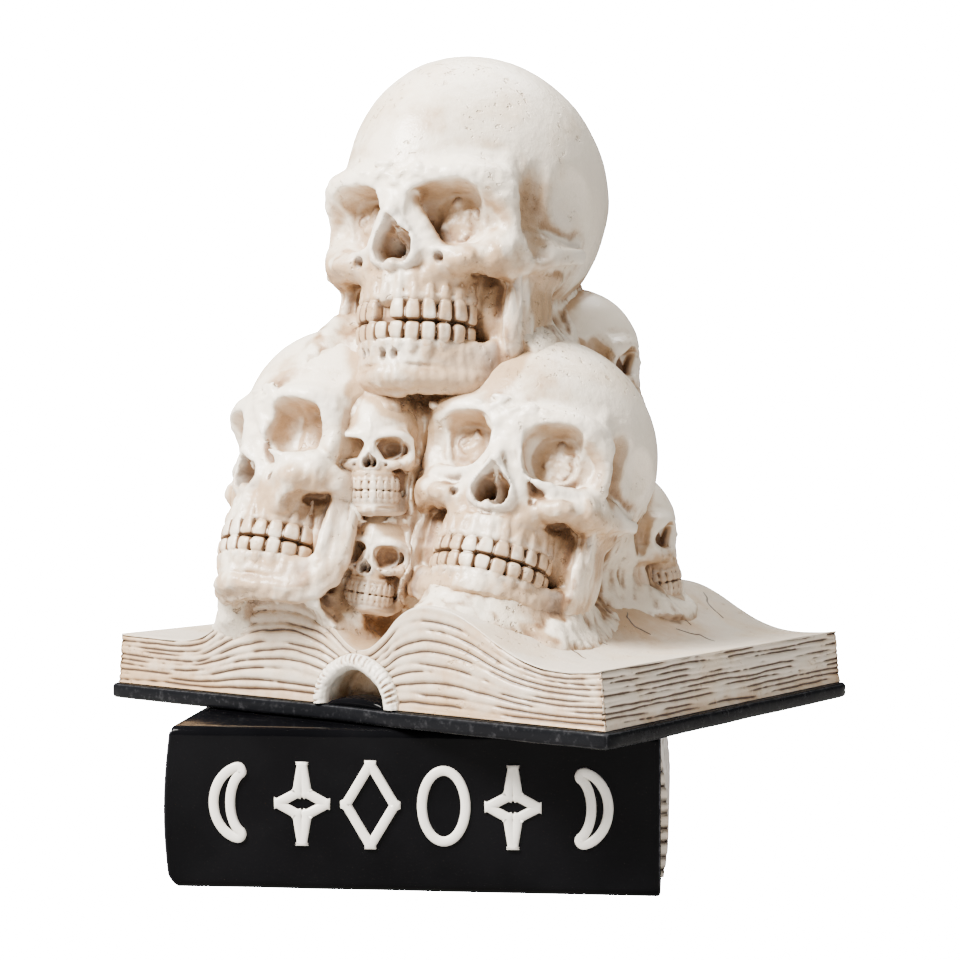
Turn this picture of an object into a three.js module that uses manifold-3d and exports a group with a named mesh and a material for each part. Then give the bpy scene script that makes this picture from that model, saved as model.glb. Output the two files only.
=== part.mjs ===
// A pile of cast skulls on an open book, which lies across a closed book.
// Millimetres, +Z up. The origin is on the floor under the middle of the open book.
// The spine of the closed book faces -Y, and so does the front of the pile.

import * as THREE from 'three';
import { mergeVertices } from 'three/addons/utils/BufferGeometryUtils.js';
import Module from 'manifold-3d';

const wasm = await Module();
wasm.setup();

// Clearance between bonded pieces, what the flat facets of a skull's cutting shape need instead, how far
// other cutting shapes run past what they cut, and how close points must lie to be one.
const seatGap = 0.3;
const facetGap = 1.5 * seatGap;
const cutOverrun = 2;
const weldReach = seatGap / 1000;

// Closed book, which carries everything.
const closedHeight = 52;
const closedLength = 157;
const closedDepth = 116;
const closedBoard = 5;
const closedCornerRadius = 4;
const closedSpineCrown = 1;
const closedPageInset = 1.5;
const closedPageSwell = 4;
const closedMiddleX = -13.5;
const closedFrontY = -80;

// Open book, turned on the closed one.
const openWidth = 210.5;
const openDepth = 158.5;
const openBoard = 5.2;
const openTurn = -30.8;
const openCornerRadius = 2;
const pageInset = 2;
const pageRise = 34;
const pageLean = 1.8;
const gutterOffset = 7.2;
const archRadius = 17.4;
const archBand = 4.8;
const archDepth = 16;

// Skulls: the greatest width of each braincase.
const topSkullWidth = 90;
const leftSkullWidth = 79;
const rightSkullWidth = 78;
const backSkullWidth = 72;
const upperSideSkullWidth = 44;
const lowerSideSkullWidth = 40;
const upperSmallSkullWidth = 31;
const lowerSmallSkullWidth = 27;

// The pile as a whole: its footprint, and its height from the crests of the pages to the middle of the top
// skull.
const pileWidth = 120;
const pileDepth = 88;
const pileHeight = 140;

const boneFinish = { color: 0xe9e3d6, roughness: 0.5, metalness: 0 };
const shadedBoneFinish = { color: 0xd8cbb2, roughness: 0.65, metalness: 0 };
const pageFinish = { color: 0xe4dccb, roughness: 0.6, metalness: 0 };
const coverFinish = { color: 0x17171b, roughness: 0.38, metalness: 0 };

// Welds a geometry into one closed skin that solids can be joined with and cut by.
function toSolid(geometry) {
  const bare = geometry.index ? geometry.toNonIndexed() : geometry.clone();
  bare.deleteAttribute('normal');
  bare.deleteAttribute('uv');
  const merged = mergeVertices(bare, weldReach);
  return new wasm.Manifold(new wasm.Mesh({
    numProp: 3,
    vertProperties: new Float32Array(merged.attributes.position.array),
    triVerts: new Uint32Array(merged.index.array),
  }));
}

function joined(solids) {
  return solids.reduce((whole, solid) => whole.add(solid));
}

function toGeometry(solid) {
  const data = solid.getMesh();
  const geometry = new THREE.BufferGeometry();
  geometry.setAttribute('position', new THREE.BufferAttribute(new Float32Array(data.vertProperties), 3));
  geometry.setIndex(new THREE.BufferAttribute(new Uint32Array(data.triVerts), 1));
  return geometry;
}

function moved(solid, matrix) {
  return toSolid(toGeometry(solid).applyMatrix4(matrix));
}

// A named mesh of a solid. With a matrix, the solid lies in the pile and the mesh keeps its own frame.
function toMesh(name, solid, finish, matrix = new THREE.Matrix4()) {
  const geometry = toGeometry(solid).applyMatrix4(matrix.clone().invert());
  geometry.computeVertexNormals();
  const mesh = new THREE.Mesh(geometry, new THREE.MeshStandardMaterial(finish));
  mesh.name = name;
  matrix.decompose(mesh.position, mesh.quaternion, mesh.scale);
  return mesh;
}

function extruded(shape, depth, curveSegments) {
  return new THREE.ExtrudeGeometry(shape, { depth, bevelEnabled: false, curveSegments });
}

// A closed skin through rings of points that all have the same count.
function loftGeometry(rings) {
  const count = rings[0].length;
  const middles = [rings[0], rings[rings.length - 1]].map((ring) => ring
    .reduce((sum, point) => sum.add(point), new THREE.Vector3()).divideScalar(count));
  const points = [...rings.flat(), ...middles];
  const faces = [];
  for (let level = 0; level + 1 < rings.length; level += 1) {
    for (let i = 0; i < count; i += 1) {
      const a = level * count + i;
      const b = level * count + (i + 1) % count;
      faces.push(a, b, b + count, a, b + count, a + count);
    }
  }
  const firstMiddle = rings.length * count;
  const lastRing = (rings.length - 1) * count;
  for (let i = 0; i < count; i += 1) {
    const next = (i + 1) % count;
    faces.push(firstMiddle, next, i);
    faces.push(firstMiddle + 1, lastRing + i, lastRing + next);
  }
  const geometry = new THREE.BufferGeometry();
  geometry.setAttribute('position', new THREE.Float32BufferAttribute(points.flatMap((p) => p.toArray()), 3));
  geometry.setIndex(faces);
  return geometry.toNonIndexed();
}

// A bar along a smooth path, with both ends pushed out by overrun. Each station is x, y, z, half width
// and half height. The width starts out towards outward and follows the path without twisting.
function barGeometry(stations, outward, sides, steps, overrun) {
  const path = new THREE.CatmullRomCurve3(stations.map(([x, y, z]) => new THREE.Vector3(x, y, z)));
  const girths = new THREE.CatmullRomCurve3(stations.map(([, , , w, h]) => new THREE.Vector3(w, h, 0)));
  const across = outward.clone();
  const rings = [];
  for (let step = 0; step <= steps; step += 1) {
    const t = step / steps;
    const centre = path.getPoint(t);
    const along = path.getTangent(t);
    if (step === 0) centre.addScaledVector(along, -overrun);
    if (step === steps) centre.addScaledVector(along, overrun);
    across.addScaledVector(along, -across.dot(along)).normalize();
    const upward = new THREE.Vector3().crossVectors(along, across).normalize();
    const girth = girths.getPoint(t);
    const ring = [];
    for (let side = 0; side < sides; side += 1) {
      const angle = (side / sides) * 2 * Math.PI;
      ring.push(centre.clone()
        .addScaledVector(across, girth.x * Math.cos(angle))
        .addScaledVector(upward, girth.y * Math.sin(angle)));
    }
    rings.push(ring);
  }
  return loftGeometry(rings);
}

// Closed book: one cover of two boards and a crowned spine, bent round a block of pages.
const closedBackY = closedFrontY + closedDepth;
const closedMiddleZ = closedHeight / 2;

function bookProfile() {
  const [front, top, radius] = [closedFrontY, closedHeight, closedCornerRadius];
  const shape = new THREE.Shape();
  shape.moveTo(closedBackY, 0);
  shape.lineTo(closedBackY, top);
  shape.lineTo(front + radius, top);
  shape.quadraticCurveTo(front, top, front, top - radius);
  shape.quadraticCurveTo(front - 2 * closedSpineCrown, closedMiddleZ, front, radius);
  shape.quadraticCurveTo(front, 0, front + radius, 0);
  shape.closePath();
  return shape;
}

// Turns an outline drawn in Y and Z into a bar that runs along X.
function alongX(shape, length) {
  const geometry = extruded(shape, length, 8);
  geometry.rotateX(Math.PI / 2);
  geometry.rotateZ(Math.PI / 2);
  geometry.translate(closedMiddleX - length / 2, 0, 0);
  return geometry;
}

function closedCover() {
  const outer = toSolid(alongX(bookProfile(), closedLength));
  const room = new THREE.BoxGeometry(
    closedLength + 2 * cutOverrun,
    closedDepth,
    closedHeight - 2 * closedBoard,
  );
  room.translate(closedMiddleX, closedFrontY + closedBoard + closedDepth / 2, closedMiddleZ);
  return outer.subtract(toSolid(room));
}

function closedPages() {
  const length = closedLength - 2 * closedPageInset;
  const height = closedHeight - 2 * (closedBoard + seatGap);
  const front = closedFrontY + closedBoard + seatGap;
  const depth = closedBackY - closedPageInset - front;
  const foreEdgeHollow = 3 * closedPageInset;
  const shape = new THREE.Shape();
  const low = closedMiddleZ - height / 2;
  shape.moveTo(front, low);
  shape.lineTo(front + depth, low);
  shape.quadraticCurveTo(front + depth - foreEdgeHollow, closedMiddleZ, front + depth, low + height);
  shape.lineTo(front, low + height);
  shape.closePath();
  return toSolid(alongX(shape, length)).add(swelling(length / 2, low, height, front, depth));
}

// The right end of the closed pages swells out past the boards, most of all in its lower half.
function swelling(end, low, height, front, depth) {
  const shape = new THREE.Shape();
  shape.moveTo(end - closedPageInset, low);
  shape.lineTo(end, low);
  shape.bezierCurveTo(
    end + closedPageSwell,
    low,
    end + closedPageSwell,
    low + height / 2,
    end,
    low + height,
  );
  shape.lineTo(end - closedPageInset, low + height);
  shape.closePath();
  const geometry = extruded(shape, depth, 8);
  geometry.rotateX(Math.PI / 2);
  geometry.translate(closedMiddleX, front + depth, 0);
  return toSolid(geometry);
}

// Open book. Its own frame has X across both pages and Y along the spine.
const openFloor = closedHeight + seatGap;
const pageFloor = openFloor + openBoard + seatGap;
const foreEdge = openWidth / 2 - pageInset;

function openCover() {
  const [w, d, r] = [openWidth / 2, openDepth / 2, openCornerRadius];
  const shape = new THREE.Shape();
  shape.moveTo(-w + r, -d);
  shape.lineTo(w - r, -d);
  shape.quadraticCurveTo(w, -d, w, -d + r);
  shape.lineTo(w, d - r);
  shape.quadraticCurveTo(w, d, w - r, d);
  shape.lineTo(-w + r, d);
  shape.quadraticCurveTo(-w, d, -w, d - r);
  shape.lineTo(-w, -d + r);
  shape.quadraticCurveTo(-w, -d, -w + r, -d);
  const geometry = extruded(shape, openBoard, 3);
  geometry.translate(0, 0, openFloor);
  return toSolid(geometry);
}

// The top of each page block from its fore edge to the gutter: share of the block's width, then share of
// pageRise.
const leftPageShares = [
  [0, 0.515], [0.12, 0.5], [0.27, 0.495], [0.36, 0.54], [0.43, 0.66], [0.51, 0.82], [0.6, 0.95],
  [0.7, 1], [0.78, 0.97], [0.85, 0.88], [0.91, 0.74], [0.96, 0.6], [1, 0.53],
];
const rightPageShares = [
  [0, 0.53], [0.06, 0.51], [0.16, 0.5], [0.25, 0.525], [0.34, 0.6], [0.42, 0.71], [0.52, 0.87],
  [0.61, 0.97], [0.7, 1], [0.77, 0.96], [0.83, 0.85], [0.88, 0.7], [0.94, 0.57], [1, 0.53],
];

// One block of pages, on the side given by 1 or -1, with its top lifted by raise.
function pageBlock(side, shares, raise) {
  const gutter = gutterOffset + side * seatGap / 2;
  const width = foreEdge - side * gutter;
  const shape = new THREE.Shape();
  shape.moveTo(side * foreEdge, pageFloor);
  const top = shares.map(([across, height]) => new THREE.Vector2(
    side * (foreEdge - pageLean * Math.max(0, 1 - across / shares[1][0]) - across * width),
    pageFloor + height * pageRise + raise,
  ));
  shape.lineTo(top[0].x, top[0].y);
  shape.splineThru(top.slice(1));
  shape.lineTo(gutter, pageFloor);
  shape.closePath();
  const depth = openDepth - 2 * pageInset;
  const geometry = extruded(shape, depth, 2);
  geometry.rotateX(Math.PI / 2);
  geometry.translate(0, depth / 2, 0);
  return toSolid(geometry);
}

// A half-round bar at one end of the gutter, standing on the cover.
function archBar(end, radius, length) {
  const outline = new THREE.Shape();
  outline.absarc(0, 0, radius, 0, Math.PI);
  outline.closePath();
  const geometry = extruded(outline, length, 10);
  geometry.rotateX(Math.PI / 2);
  const endY = end * (openDepth / 2 - pageInset);
  geometry.translate(gutterOffset, end > 0 ? endY : endY + length, pageFloor);
  return toSolid(geometry);
}

// The half-round band at one end of the spine, and the room it takes from the pages.
function headband(end) {
  const hollow = archBar(end, archRadius - archBand, archDepth + 2 * cutOverrun)
    .translate(0, end * cutOverrun, -seatGap / 10);
  return archBar(end, archRadius, archDepth).subtract(hollow);
}

function archRoom(end) {
  return archBar(end, archRadius + seatGap, archDepth + seatGap + cutOverrun)
    .translate(0, end * cutOverrun, -seatGap);
}

// Skull. Its own frame has the face towards -Y and the origin in the middle of the braincase.
// Every share is of the skull's width, and a point's x is to the skull's left.
const braincaseShares = { half: 0.5, halfLength: 0.61, browPinch: 0.2, templePinch: 0.1 };

const faceShares = [
  { z: -0.48, x: 0.205, front: -0.55, back: -0.14 },
  { z: -0.4, x: 0.24, front: -0.56, back: -0.1 },
  { z: -0.34, x: 0.345, front: -0.545, back: 0 },
  { z: -0.26, x: 0.385, front: -0.545, back: 0 },
  { z: -0.06, x: 0.385, front: -0.58, back: 0 },
  { z: 0.04, x: 0.34, front: -0.575, back: 0 },
];

// x, y, z, half width and half height along each bar of bone.
const browShares = [
  [0.02, -0.56, -0.09, 0.05, 0.045], [0.13, -0.58, -0.04, 0.055, 0.04], [0.26, -0.54, -0.02, 0.055, 0.04],
  [0.35, -0.45, -0.07, 0.05, 0.04], [0.365, -0.42, -0.17, 0.045, 0.035],
];
const archShares = [
  [0.25, -0.48, -0.31, 0.06, 0.06], [0.365, -0.41, -0.31, 0.05, 0.06], [0.435, -0.26, -0.29, 0.04, 0.055],
  [0.44, -0.08, -0.26, 0.04, 0.045],
];
const jawShares = [
  [0.4, -0.18, -0.28, 0.035, 0.05], [0.36, -0.28, -0.45, 0.035, 0.07], [0.33, -0.33, -0.6, 0.04, 0.085],
  [0.27, -0.42, -0.7, 0.05, 0.085], [0.16, -0.53, -0.74, 0.06, 0.085], [0, -0.57, -0.745, 0.06, 0.095],
];
const noseShares = [
  [0, -0.575, -0.05, 0.05, 0.05], [0, -0.6, -0.12, 0.05, 0.045], [0, -0.635, -0.19, 0.055, 0.03],
];
const orbitShares = { x: 0.205, y: -0.6, z: -0.155, halfWidth: 0.155, halfHeight: 0.125, depth: 0.23 };
const orbitDroop = THREE.MathUtils.degToRad(8);
const apertureShares = { apex: -0.175, base: -0.36, halfWidth: 0.095, depth: 0.13, front: -0.72 };
const throatShares = { y: -0.12, z: -0.5, halfWidth: 0.19, halfDepth: 0.26, halfHeight: 0.24 };
const reliefThroatShares = { y: -0.2, z: -0.5, halfWidth: 0.42, halfDepth: 0.37, halfHeight: 0.28 };

// Both rows of teeth follow one arc. Each level is z, how far it stands out from the arc and how deep
// the grooves between the crowns are. The bite line lies between the rows.
const toothArcShares = { halfWidth: 0.235, halfLength: 0.25, middleY: -0.365 };
const toothLevelShares = [
  [-0.69, -0.03, 0], [-0.65, 0, 0.012], [-0.6, 0.008, 0.035], [-0.585, -0.03, 0.02],
  [-0.57, 0.01, 0.035], [-0.505, 0.003, 0.012], [-0.46, -0.03, 0],
];
const biteLevel = 3;

function ellipsoid(middle, semi, around, rings) {
  const geometry = new THREE.SphereGeometry(1, around, rings);
  geometry.rotateX(Math.PI / 2);
  geometry.scale(semi[0], semi[1], semi[2]);
  geometry.translate(middle[0], middle[1], middle[2]);
  return geometry;
}

// The braincase narrows behind the brow and at the temples.
function braincase(skull, grow) {
  const b = skull.width;
  const semi = [braincaseShares.half * b, braincaseShares.halfLength * b, skull.domeShare * b];
  const geometry = ellipsoid([0, 0, 0], semi, skull.around, skull.around / 2);
  const position = geometry.attributes.position;
  for (let i = 0; i < position.count; i += 1) {
    const forward = Math.max(0, -position.getY(i) / semi[1]);
    const low = Math.max(0, -position.getZ(i) / semi[2]);
    const pinch = braincaseShares.browPinch * forward ** 2 + braincaseShares.templePinch * low * forward;
    position.setX(i, position.getX(i) * (1 - pinch));
  }
  geometry.scale(1 + grow / semi[0], 1 + grow / semi[1], 1 + grow / semi[2]);
  return toSolid(geometry);
}

// The mask of the face, lofted from the upper jaw to the forehead.
function faceMask(skull, grow) {
  const b = skull.width;
  const last = faceShares.length - 1;
  const rings = faceShares.map(({ z, x, front, back }, level) => {
    const ring = [];
    const middle = (front + back) / 2 * b;
    const lift = level === 0 ? -grow : level === last ? grow : 0;
    for (let i = 0; i < skull.around; i += 1) {
      const angle = (i / skull.around) * 2 * Math.PI;
      const [c, s] = [Math.cos(angle), Math.sin(angle)];
      ring.push(new THREE.Vector3(
        Math.sign(c) * Math.abs(c) ** 0.7 * (x * b + grow),
        middle + Math.sign(s) * Math.abs(s) ** 0.8 * ((back - front) / 2 * b + grow),
        z * b + lift,
      ));
    }
    return ring;
  });
  return toSolid(loftGeometry(rings));
}

function bar(skull, shares, side, grow) {
  const b = skull.width;
  const stations = shares.map(([x, y, z, w, h]) => [side * x * b, y * b, z * b, w * b + grow, h * b + grow]);
  return toSolid(barGeometry(stations, new THREE.Vector3(side, -1, 0), skull.barSides, shares.length - 1, grow));
}

function jaw(skull, grow) {
  const b = skull.width;
  const half = jawShares.map(([x, y, z, w, h]) => [x * b, y * b, z * b, w * b + grow, h * b + grow]);
  const otherHalf = half.slice(0, -1).reverse().map(([x, ...rest]) => [-x, ...rest]);
  const stations = [...half, ...otherHalf];
  const outward = new THREE.Vector3(1, 0, 0);
  return toSolid(barGeometry(stations, outward, skull.barSides, stations.length - 1, grow));
}

function throat(skull, grow) {
  const b = skull.width;
  const { y, z, halfWidth, halfDepth, halfHeight } = skull.inRelief ? reliefThroatShares : throatShares;
  const semi = [halfWidth * b + grow, halfDepth * b + grow, halfHeight * b + grow];
  return toSolid(ellipsoid([0, y * b, z * b], semi, 8, 6));
}

// The gums and teeth: a closed arc whose front is grooved between the crowns and along the bite.
function teeth(skull, grow) {
  const b = skull.width;
  const { halfWidth, halfLength, middleY } = toothArcShares;
  const steps = 2 * skull.teeth;
  const backSteps = 2;
  const levels = grow ? toothLevelShares.filter((level, i) => i !== biteLevel) : toothLevelShares;
  const rings = levels.map(([z, proud, groove], level) => {
    const ring = [];
    const reach = (angle, out) => ring.push(new THREE.Vector3(
      Math.cos(angle) * ((halfWidth + out) * b + grow),
      middleY * b + Math.sin(angle) * ((halfLength + out) * b + grow),
      z * b + (level === 0 ? -grow : 0) + (level === levels.length - 1 ? grow : 0),
    ));
    for (let i = 0; i <= steps; i += 1) {
      const depth = i % 2 === 0 && !grow ? groove : 0;
      reach(-Math.PI + (i / steps) * Math.PI, proud - depth);
    }
    for (let i = 1; i < backSteps; i += 1) reach((i / backSteps) * Math.PI, proud);
    return ring;
  });
  return toSolid(loftGeometry(rings));
}

// What is hollow in a face: both orbits and the pear-shaped opening of the nose.
function orbit(skull, side) {
  const b = skull.width;
  const { x, y, z, halfWidth, halfHeight, depth } = orbitShares;
  const geometry = ellipsoid([0, 0, 0], [halfWidth * b, depth * b, halfHeight * b], skull.orbitSides, 6);
  geometry.rotateY(side * orbitDroop);
  geometry.rotateZ(side * 2 * orbitDroop);
  geometry.translate(side * x * b, y * b, z * b);
  return toSolid(geometry);
}

function aperture(skull) {
  const b = skull.width;
  const { apex, base, halfWidth, depth, front } = apertureShares;
  const shape = new THREE.Shape();
  const height = (apex - base) * b;
  const half = halfWidth * b;
  const low = base * b;
  shape.moveTo(0, low);
  shape.quadraticCurveTo(half, low - 0.1 * height, half, low + 0.2 * height);
  shape.quadraticCurveTo(0.6 * half, low + 0.8 * height, 0, low + height);
  shape.quadraticCurveTo(-0.6 * half, low + 0.8 * height, -half, low + 0.2 * height);
  shape.quadraticCurveTo(-half, low - 0.1 * height, 0, low);
  const cut = 2 * depth * b;
  const geometry = extruded(shape, cut, 3);
  geometry.rotateX(Math.PI / 2);
  geometry.translate(0, front * b + cut, 0);
  return toSolid(geometry);
}

// The bone of a skull before its hollows are cut, swelled by grow on every side. An arch that lies inside
// the pile stops short of the ear.
function skullMass(skull, grow) {
  const head = joined([
    braincase(skull, grow), faceMask(skull, grow), teeth(skull, grow), jaw(skull, grow), throat(skull, grow),
  ]);
  if (skull.inRelief) return head;
  const leftArch = skull.leftArchBuried ? archShares.slice(0, -1) : archShares;
  const arches = bar(skull, leftArch, 1, grow).add(bar(skull, archShares, -1, grow));
  return head.add(arches);
}

// Both brows and, on all but the smallest skulls, the bridge of the nose. They stand over the hollows.
function ridges(skull, grow) {
  const brows = bar(skull, browShares, 1, grow).add(bar(skull, browShares, -1, grow));
  return skull.inRelief ? brows : brows.add(bar(skull, noseShares, 1, grow));
}

function skullSolid(skull) {
  return skullMass(skull, 0)
    .subtract(orbit(skull, 1))
    .subtract(orbit(skull, -1))
    .add(ridges(skull, 0))
    .subtract(aperture(skull));
}

// How finely each size of skull is made.
const largeGrade = { around: 16, barSides: 5, orbitSides: 8, teeth: 8 };
const middleGrade = { around: 12, barSides: 4, orbitSides: 6, teeth: 5 };
const smallGrade = { around: 10, barSides: 4, orbitSides: 6, teeth: 4, inRelief: true };

// Where each skull lies: shares of the pile's half width, half depth and height, then yaw, pitch and roll in
// degrees. Yaw turns the face from -Y towards +X, pitch lowers it, and roll tips the crown to its left.
const skulls = [
  {
    name: 'skull_top', width: topSkullWidth, domeShare: 0.56, grade: largeGrade,
    placeShares: [-0.017, -0.114, 1], turn: [-23.5, -6.5, -1],
  },
  {
    name: 'skull_right', width: rightSkullWidth, domeShare: 0.52, grade: largeGrade,
    placeShares: [0.4, -0.5, 0.355], turn: [-11, -18, 8],
  },
  {
    name: 'skull_left', width: leftSkullWidth, domeShare: 0.515, grade: largeGrade,
    placeShares: [-0.61, -0.32, 0.387], turn: [-50.5, -17.5, -9], leftArchBuried: true,
  },
  {
    name: 'skull_small_upper', width: upperSmallSkullWidth, domeShare: 0.52, grade: smallGrade,
    placeShares: [-0.485, -0.93, 0.409], turn: [-4, -4, 0],
  },
  {
    name: 'skull_small_lower', width: lowerSmallSkullWidth, domeShare: 0.52, grade: smallGrade,
    placeShares: [-0.455, -0.96, 0.157], turn: [-10, -4, 8],
  },
  {
    name: 'skull_side_upper', width: upperSideSkullWidth, domeShare: 0.52, grade: smallGrade,
    placeShares: [0.48, 0.27, 0.627], turn: [88, -8, 0],
  },
  {
    name: 'skull_side_lower', width: lowerSideSkullWidth, domeShare: 0.52, grade: smallGrade,
    placeShares: [0.74, 0.18, 0.187], turn: [88, -8, 0],
  },
  {
    name: 'skull_back', width: backSkullWidth, domeShare: 0.52, grade: middleGrade,
    placeShares: [-0.1, 0.62, 0.345], turn: [165, -14, 4],
  },
];

const crestShare = 0.88;
const pileFloor = pageFloor + crestShare * pageRise;

skulls.forEach((skull) => {
  Object.assign(skull, skull.grade);
  const [yaw, pitch, roll] = skull.turn.map(THREE.MathUtils.degToRad);
  const euler = new THREE.Euler(pitch, roll, yaw, 'ZXY');
  const [x, y, z] = skull.placeShares;
  skull.matrix = new THREE.Matrix4().makeRotationFromEuler(euler);
  skull.matrix.setPosition(x * pileWidth / 2, y * pileDepth / 2, pileFloor + z * pileHeight);
});

// The core that every skull is bonded to: two rounded masses, one on the other, and a post in front of them.
const coreShares = [
  { x: -0.03, y: -0.08, z: 0.151, halfWidth: 0.94, halfDepth: 0.92, halfHeight: 0.34 },
  { x: -0.03, y: -0.06, z: 0.539, halfWidth: 0.62, halfDepth: 0.82, halfHeight: 0.304 },
  { x: -0.43, y: -0.74, z: 0.248, halfWidth: 0.43, halfDepth: 0.54, halfHeight: 0.364 },
];

function coreMass(grow) {
  return joined(coreShares.map(({ x, y, z, halfWidth, halfDepth, halfHeight }) => toSolid(ellipsoid(
    [x * pileWidth / 2, y * pileDepth / 2, pileFloor + z * pileHeight],
    [halfWidth * pileWidth / 2 + grow, halfDepth * pileDepth / 2 + grow, halfHeight * pileHeight + grow],
    14,
    8,
  ))));
}

// Everything above the pages is cut by both page blocks, raised a little, and by all that lies below them.
const blocks = [[-1, leftPageShares], [1, rightPageShares]];
const pagesTop = joined(blocks.map(([side, shares]) => pageBlock(side, shares, facetGap)));
const bedHeight = pageFloor + pageRise / 3;
const bed = toSolid(new THREE.BoxGeometry(openWidth, openDepth, bedHeight).translate(0, 0, bedHeight / 2));
const bookTurn = THREE.MathUtils.degToRad(openTurn);
const pagesInPile = moved(pagesTop.add(bed), new THREE.Matrix4().makeRotationZ(bookTurn));

const decoration = new THREE.Group();

const closedBook = new THREE.Group();
closedBook.add(toMesh('closed_book_cover', closedCover(), coverFinish));
closedBook.add(toMesh('closed_book_pages', closedPages(), pageFinish));
decoration.add(closedBook);

const openBook = new THREE.Group();
openBook.rotation.z = bookTurn;
openBook.add(toMesh('open_book_cover', openCover(), coverFinish));
const rooms = archRoom(1).add(archRoom(-1));
openBook.add(toMesh('open_book_pages_left', pageBlock(-1, leftPageShares, 0).subtract(rooms), pageFinish));
openBook.add(toMesh('open_book_pages_right', pageBlock(1, rightPageShares, 0).subtract(rooms), pageFinish));
openBook.add(toMesh('headband_front', headband(-1), pageFinish));
openBook.add(toMesh('headband_back', headband(1), pageFinish));
decoration.add(openBook);

const pile = new THREE.Group();
pile.add(toMesh('pile_core', coreMass(0).subtract(pagesInPile), shadedBoneFinish));

// The small skulls of the front stand clear, and every other skull is cut back by those named before it.
const cutOrder = [
  'skull_small_upper', 'skull_small_lower', 'skull_top', 'skull_right', 'skull_left',
  'skull_side_upper', 'skull_side_lower', 'skull_back',
];
let taken = coreMass(seatGap).add(pagesInPile);
cutOrder.forEach((name) => {
  const skull = skulls.find((one) => one.name === name);
  const whole = moved(skullSolid(skull), skull.matrix);
  pile.add(toMesh(name, whole.subtract(taken), boneFinish, skull.matrix));
  const cutter = skullMass(skull, facetGap).add(ridges(skull, facetGap));
  taken = taken.add(moved(cutter, skull.matrix));
});
decoration.add(pile);

export default decoration;
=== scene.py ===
import math

import bpy
import numpy as np
import openvdb
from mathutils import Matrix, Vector


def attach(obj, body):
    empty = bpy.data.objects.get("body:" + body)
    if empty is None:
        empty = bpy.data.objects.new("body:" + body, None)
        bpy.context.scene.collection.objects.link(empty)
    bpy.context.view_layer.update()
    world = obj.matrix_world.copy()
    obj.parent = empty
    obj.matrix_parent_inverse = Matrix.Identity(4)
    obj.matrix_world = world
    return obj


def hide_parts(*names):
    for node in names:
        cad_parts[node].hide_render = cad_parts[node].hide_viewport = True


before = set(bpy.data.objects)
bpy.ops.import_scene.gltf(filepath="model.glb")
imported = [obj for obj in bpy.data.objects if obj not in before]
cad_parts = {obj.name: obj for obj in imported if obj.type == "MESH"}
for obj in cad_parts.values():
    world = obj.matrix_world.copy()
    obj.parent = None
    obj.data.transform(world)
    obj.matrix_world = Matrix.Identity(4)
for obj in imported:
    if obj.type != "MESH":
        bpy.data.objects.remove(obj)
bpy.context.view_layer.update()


# The table top and the studio. The decoration stands on a white sweep under one broad soft light from the
# upper left, with weaker fill from the right and from above, and it is seen from just above its middle.
camera_data = bpy.data.cameras.new("camera")
camera_data.sensor_width = 36.0
camera_data.lens = 75.75
camera_data.clip_start = 0.05
camera_data.clip_end = 20.0
camera = bpy.data.objects.new("camera", camera_data)
bpy.context.scene.collection.objects.link(camera)
camera.location = (0.07037, -0.71409, 0.14428)
camera.rotation_euler = (math.radians(90 - 1.18), 0.0, math.radians(5.62))
bpy.context.scene.camera = camera


def area_light(name, place, target, width, watts, tint):
    data = bpy.data.lights.new(name, "AREA")
    data.shape = "DISK"
    data.size = width
    data.energy = watts
    data.color = tint
    light = bpy.data.objects.new(name, data)
    light.location = place
    light.rotation_euler = (Vector(target) - Vector(place)).to_track_quat("-Z", "Y").to_euler()
    bpy.context.scene.collection.objects.link(light)


area_light("key_light", (-0.62, -0.6, 0.95), (0.0, 0.0, 0.13), 0.5, 79.0, (1.0, 0.97, 0.93))
area_light("fill_light", (0.9, -0.7, 0.3), (0.0, 0.0, 0.13), 0.9, 4.6, (0.98, 0.985, 1.0))
area_light("top_light", (0.1, 0.3, 1.0), (0.0, 0.0, 0.15), 0.7, 14.0, (1.0, 0.99, 0.97))

world = bpy.data.worlds.new("studio")
bpy.context.scene.world = world
world.use_nodes = True
sky = world.node_tree.nodes["Background"]
sky.inputs["Color"].default_value = (1.0, 1.0, 1.0, 1.0)
seen = world.node_tree.nodes.new("ShaderNodeLightPath")
bright = world.node_tree.nodes.new("ShaderNodeMapRange")
bright.inputs["To Min"].default_value = 0.13
bright.inputs["To Max"].default_value = 30.0
world.node_tree.links.new(seen.outputs["Is Camera Ray"], bright.inputs["Value"])
world.node_tree.links.new(bright.outputs["Result"], sky.inputs["Strength"])

bpy.ops.mesh.primitive_plane_add(size=6.0, location=(0.0, 0.0, 0.0))
table_top = bpy.context.object
table_top.name = "table_top"
table_material = bpy.data.materials.new("white_sweep")
table_material.use_nodes = True
table_shader = table_material.node_tree.nodes["Principled BSDF"]
table_shader.inputs["Base Color"].default_value = (0.42, 0.41, 0.4, 1.0)
table_shader.inputs["Roughness"].default_value = 0.6
table_shader.inputs["Specular IOR Level"].default_value = 0.0
table_shader.inputs["Emission Color"].default_value = (1.0, 1.0, 1.0, 1.0)
table_seen = table_material.node_tree.nodes.new("ShaderNodeLightPath")
table_glow = table_material.node_tree.nodes.new("ShaderNodeMath")
table_glow.operation = "MULTIPLY"
table_glow.inputs[1].default_value = 25.0
table_material.node_tree.links.new(table_seen.outputs["Is Camera Ray"], table_glow.inputs[0])
table_material.node_tree.links.new(table_glow.outputs[0], table_shader.inputs["Emission Strength"])
table_top.data.materials.append(table_material)


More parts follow.
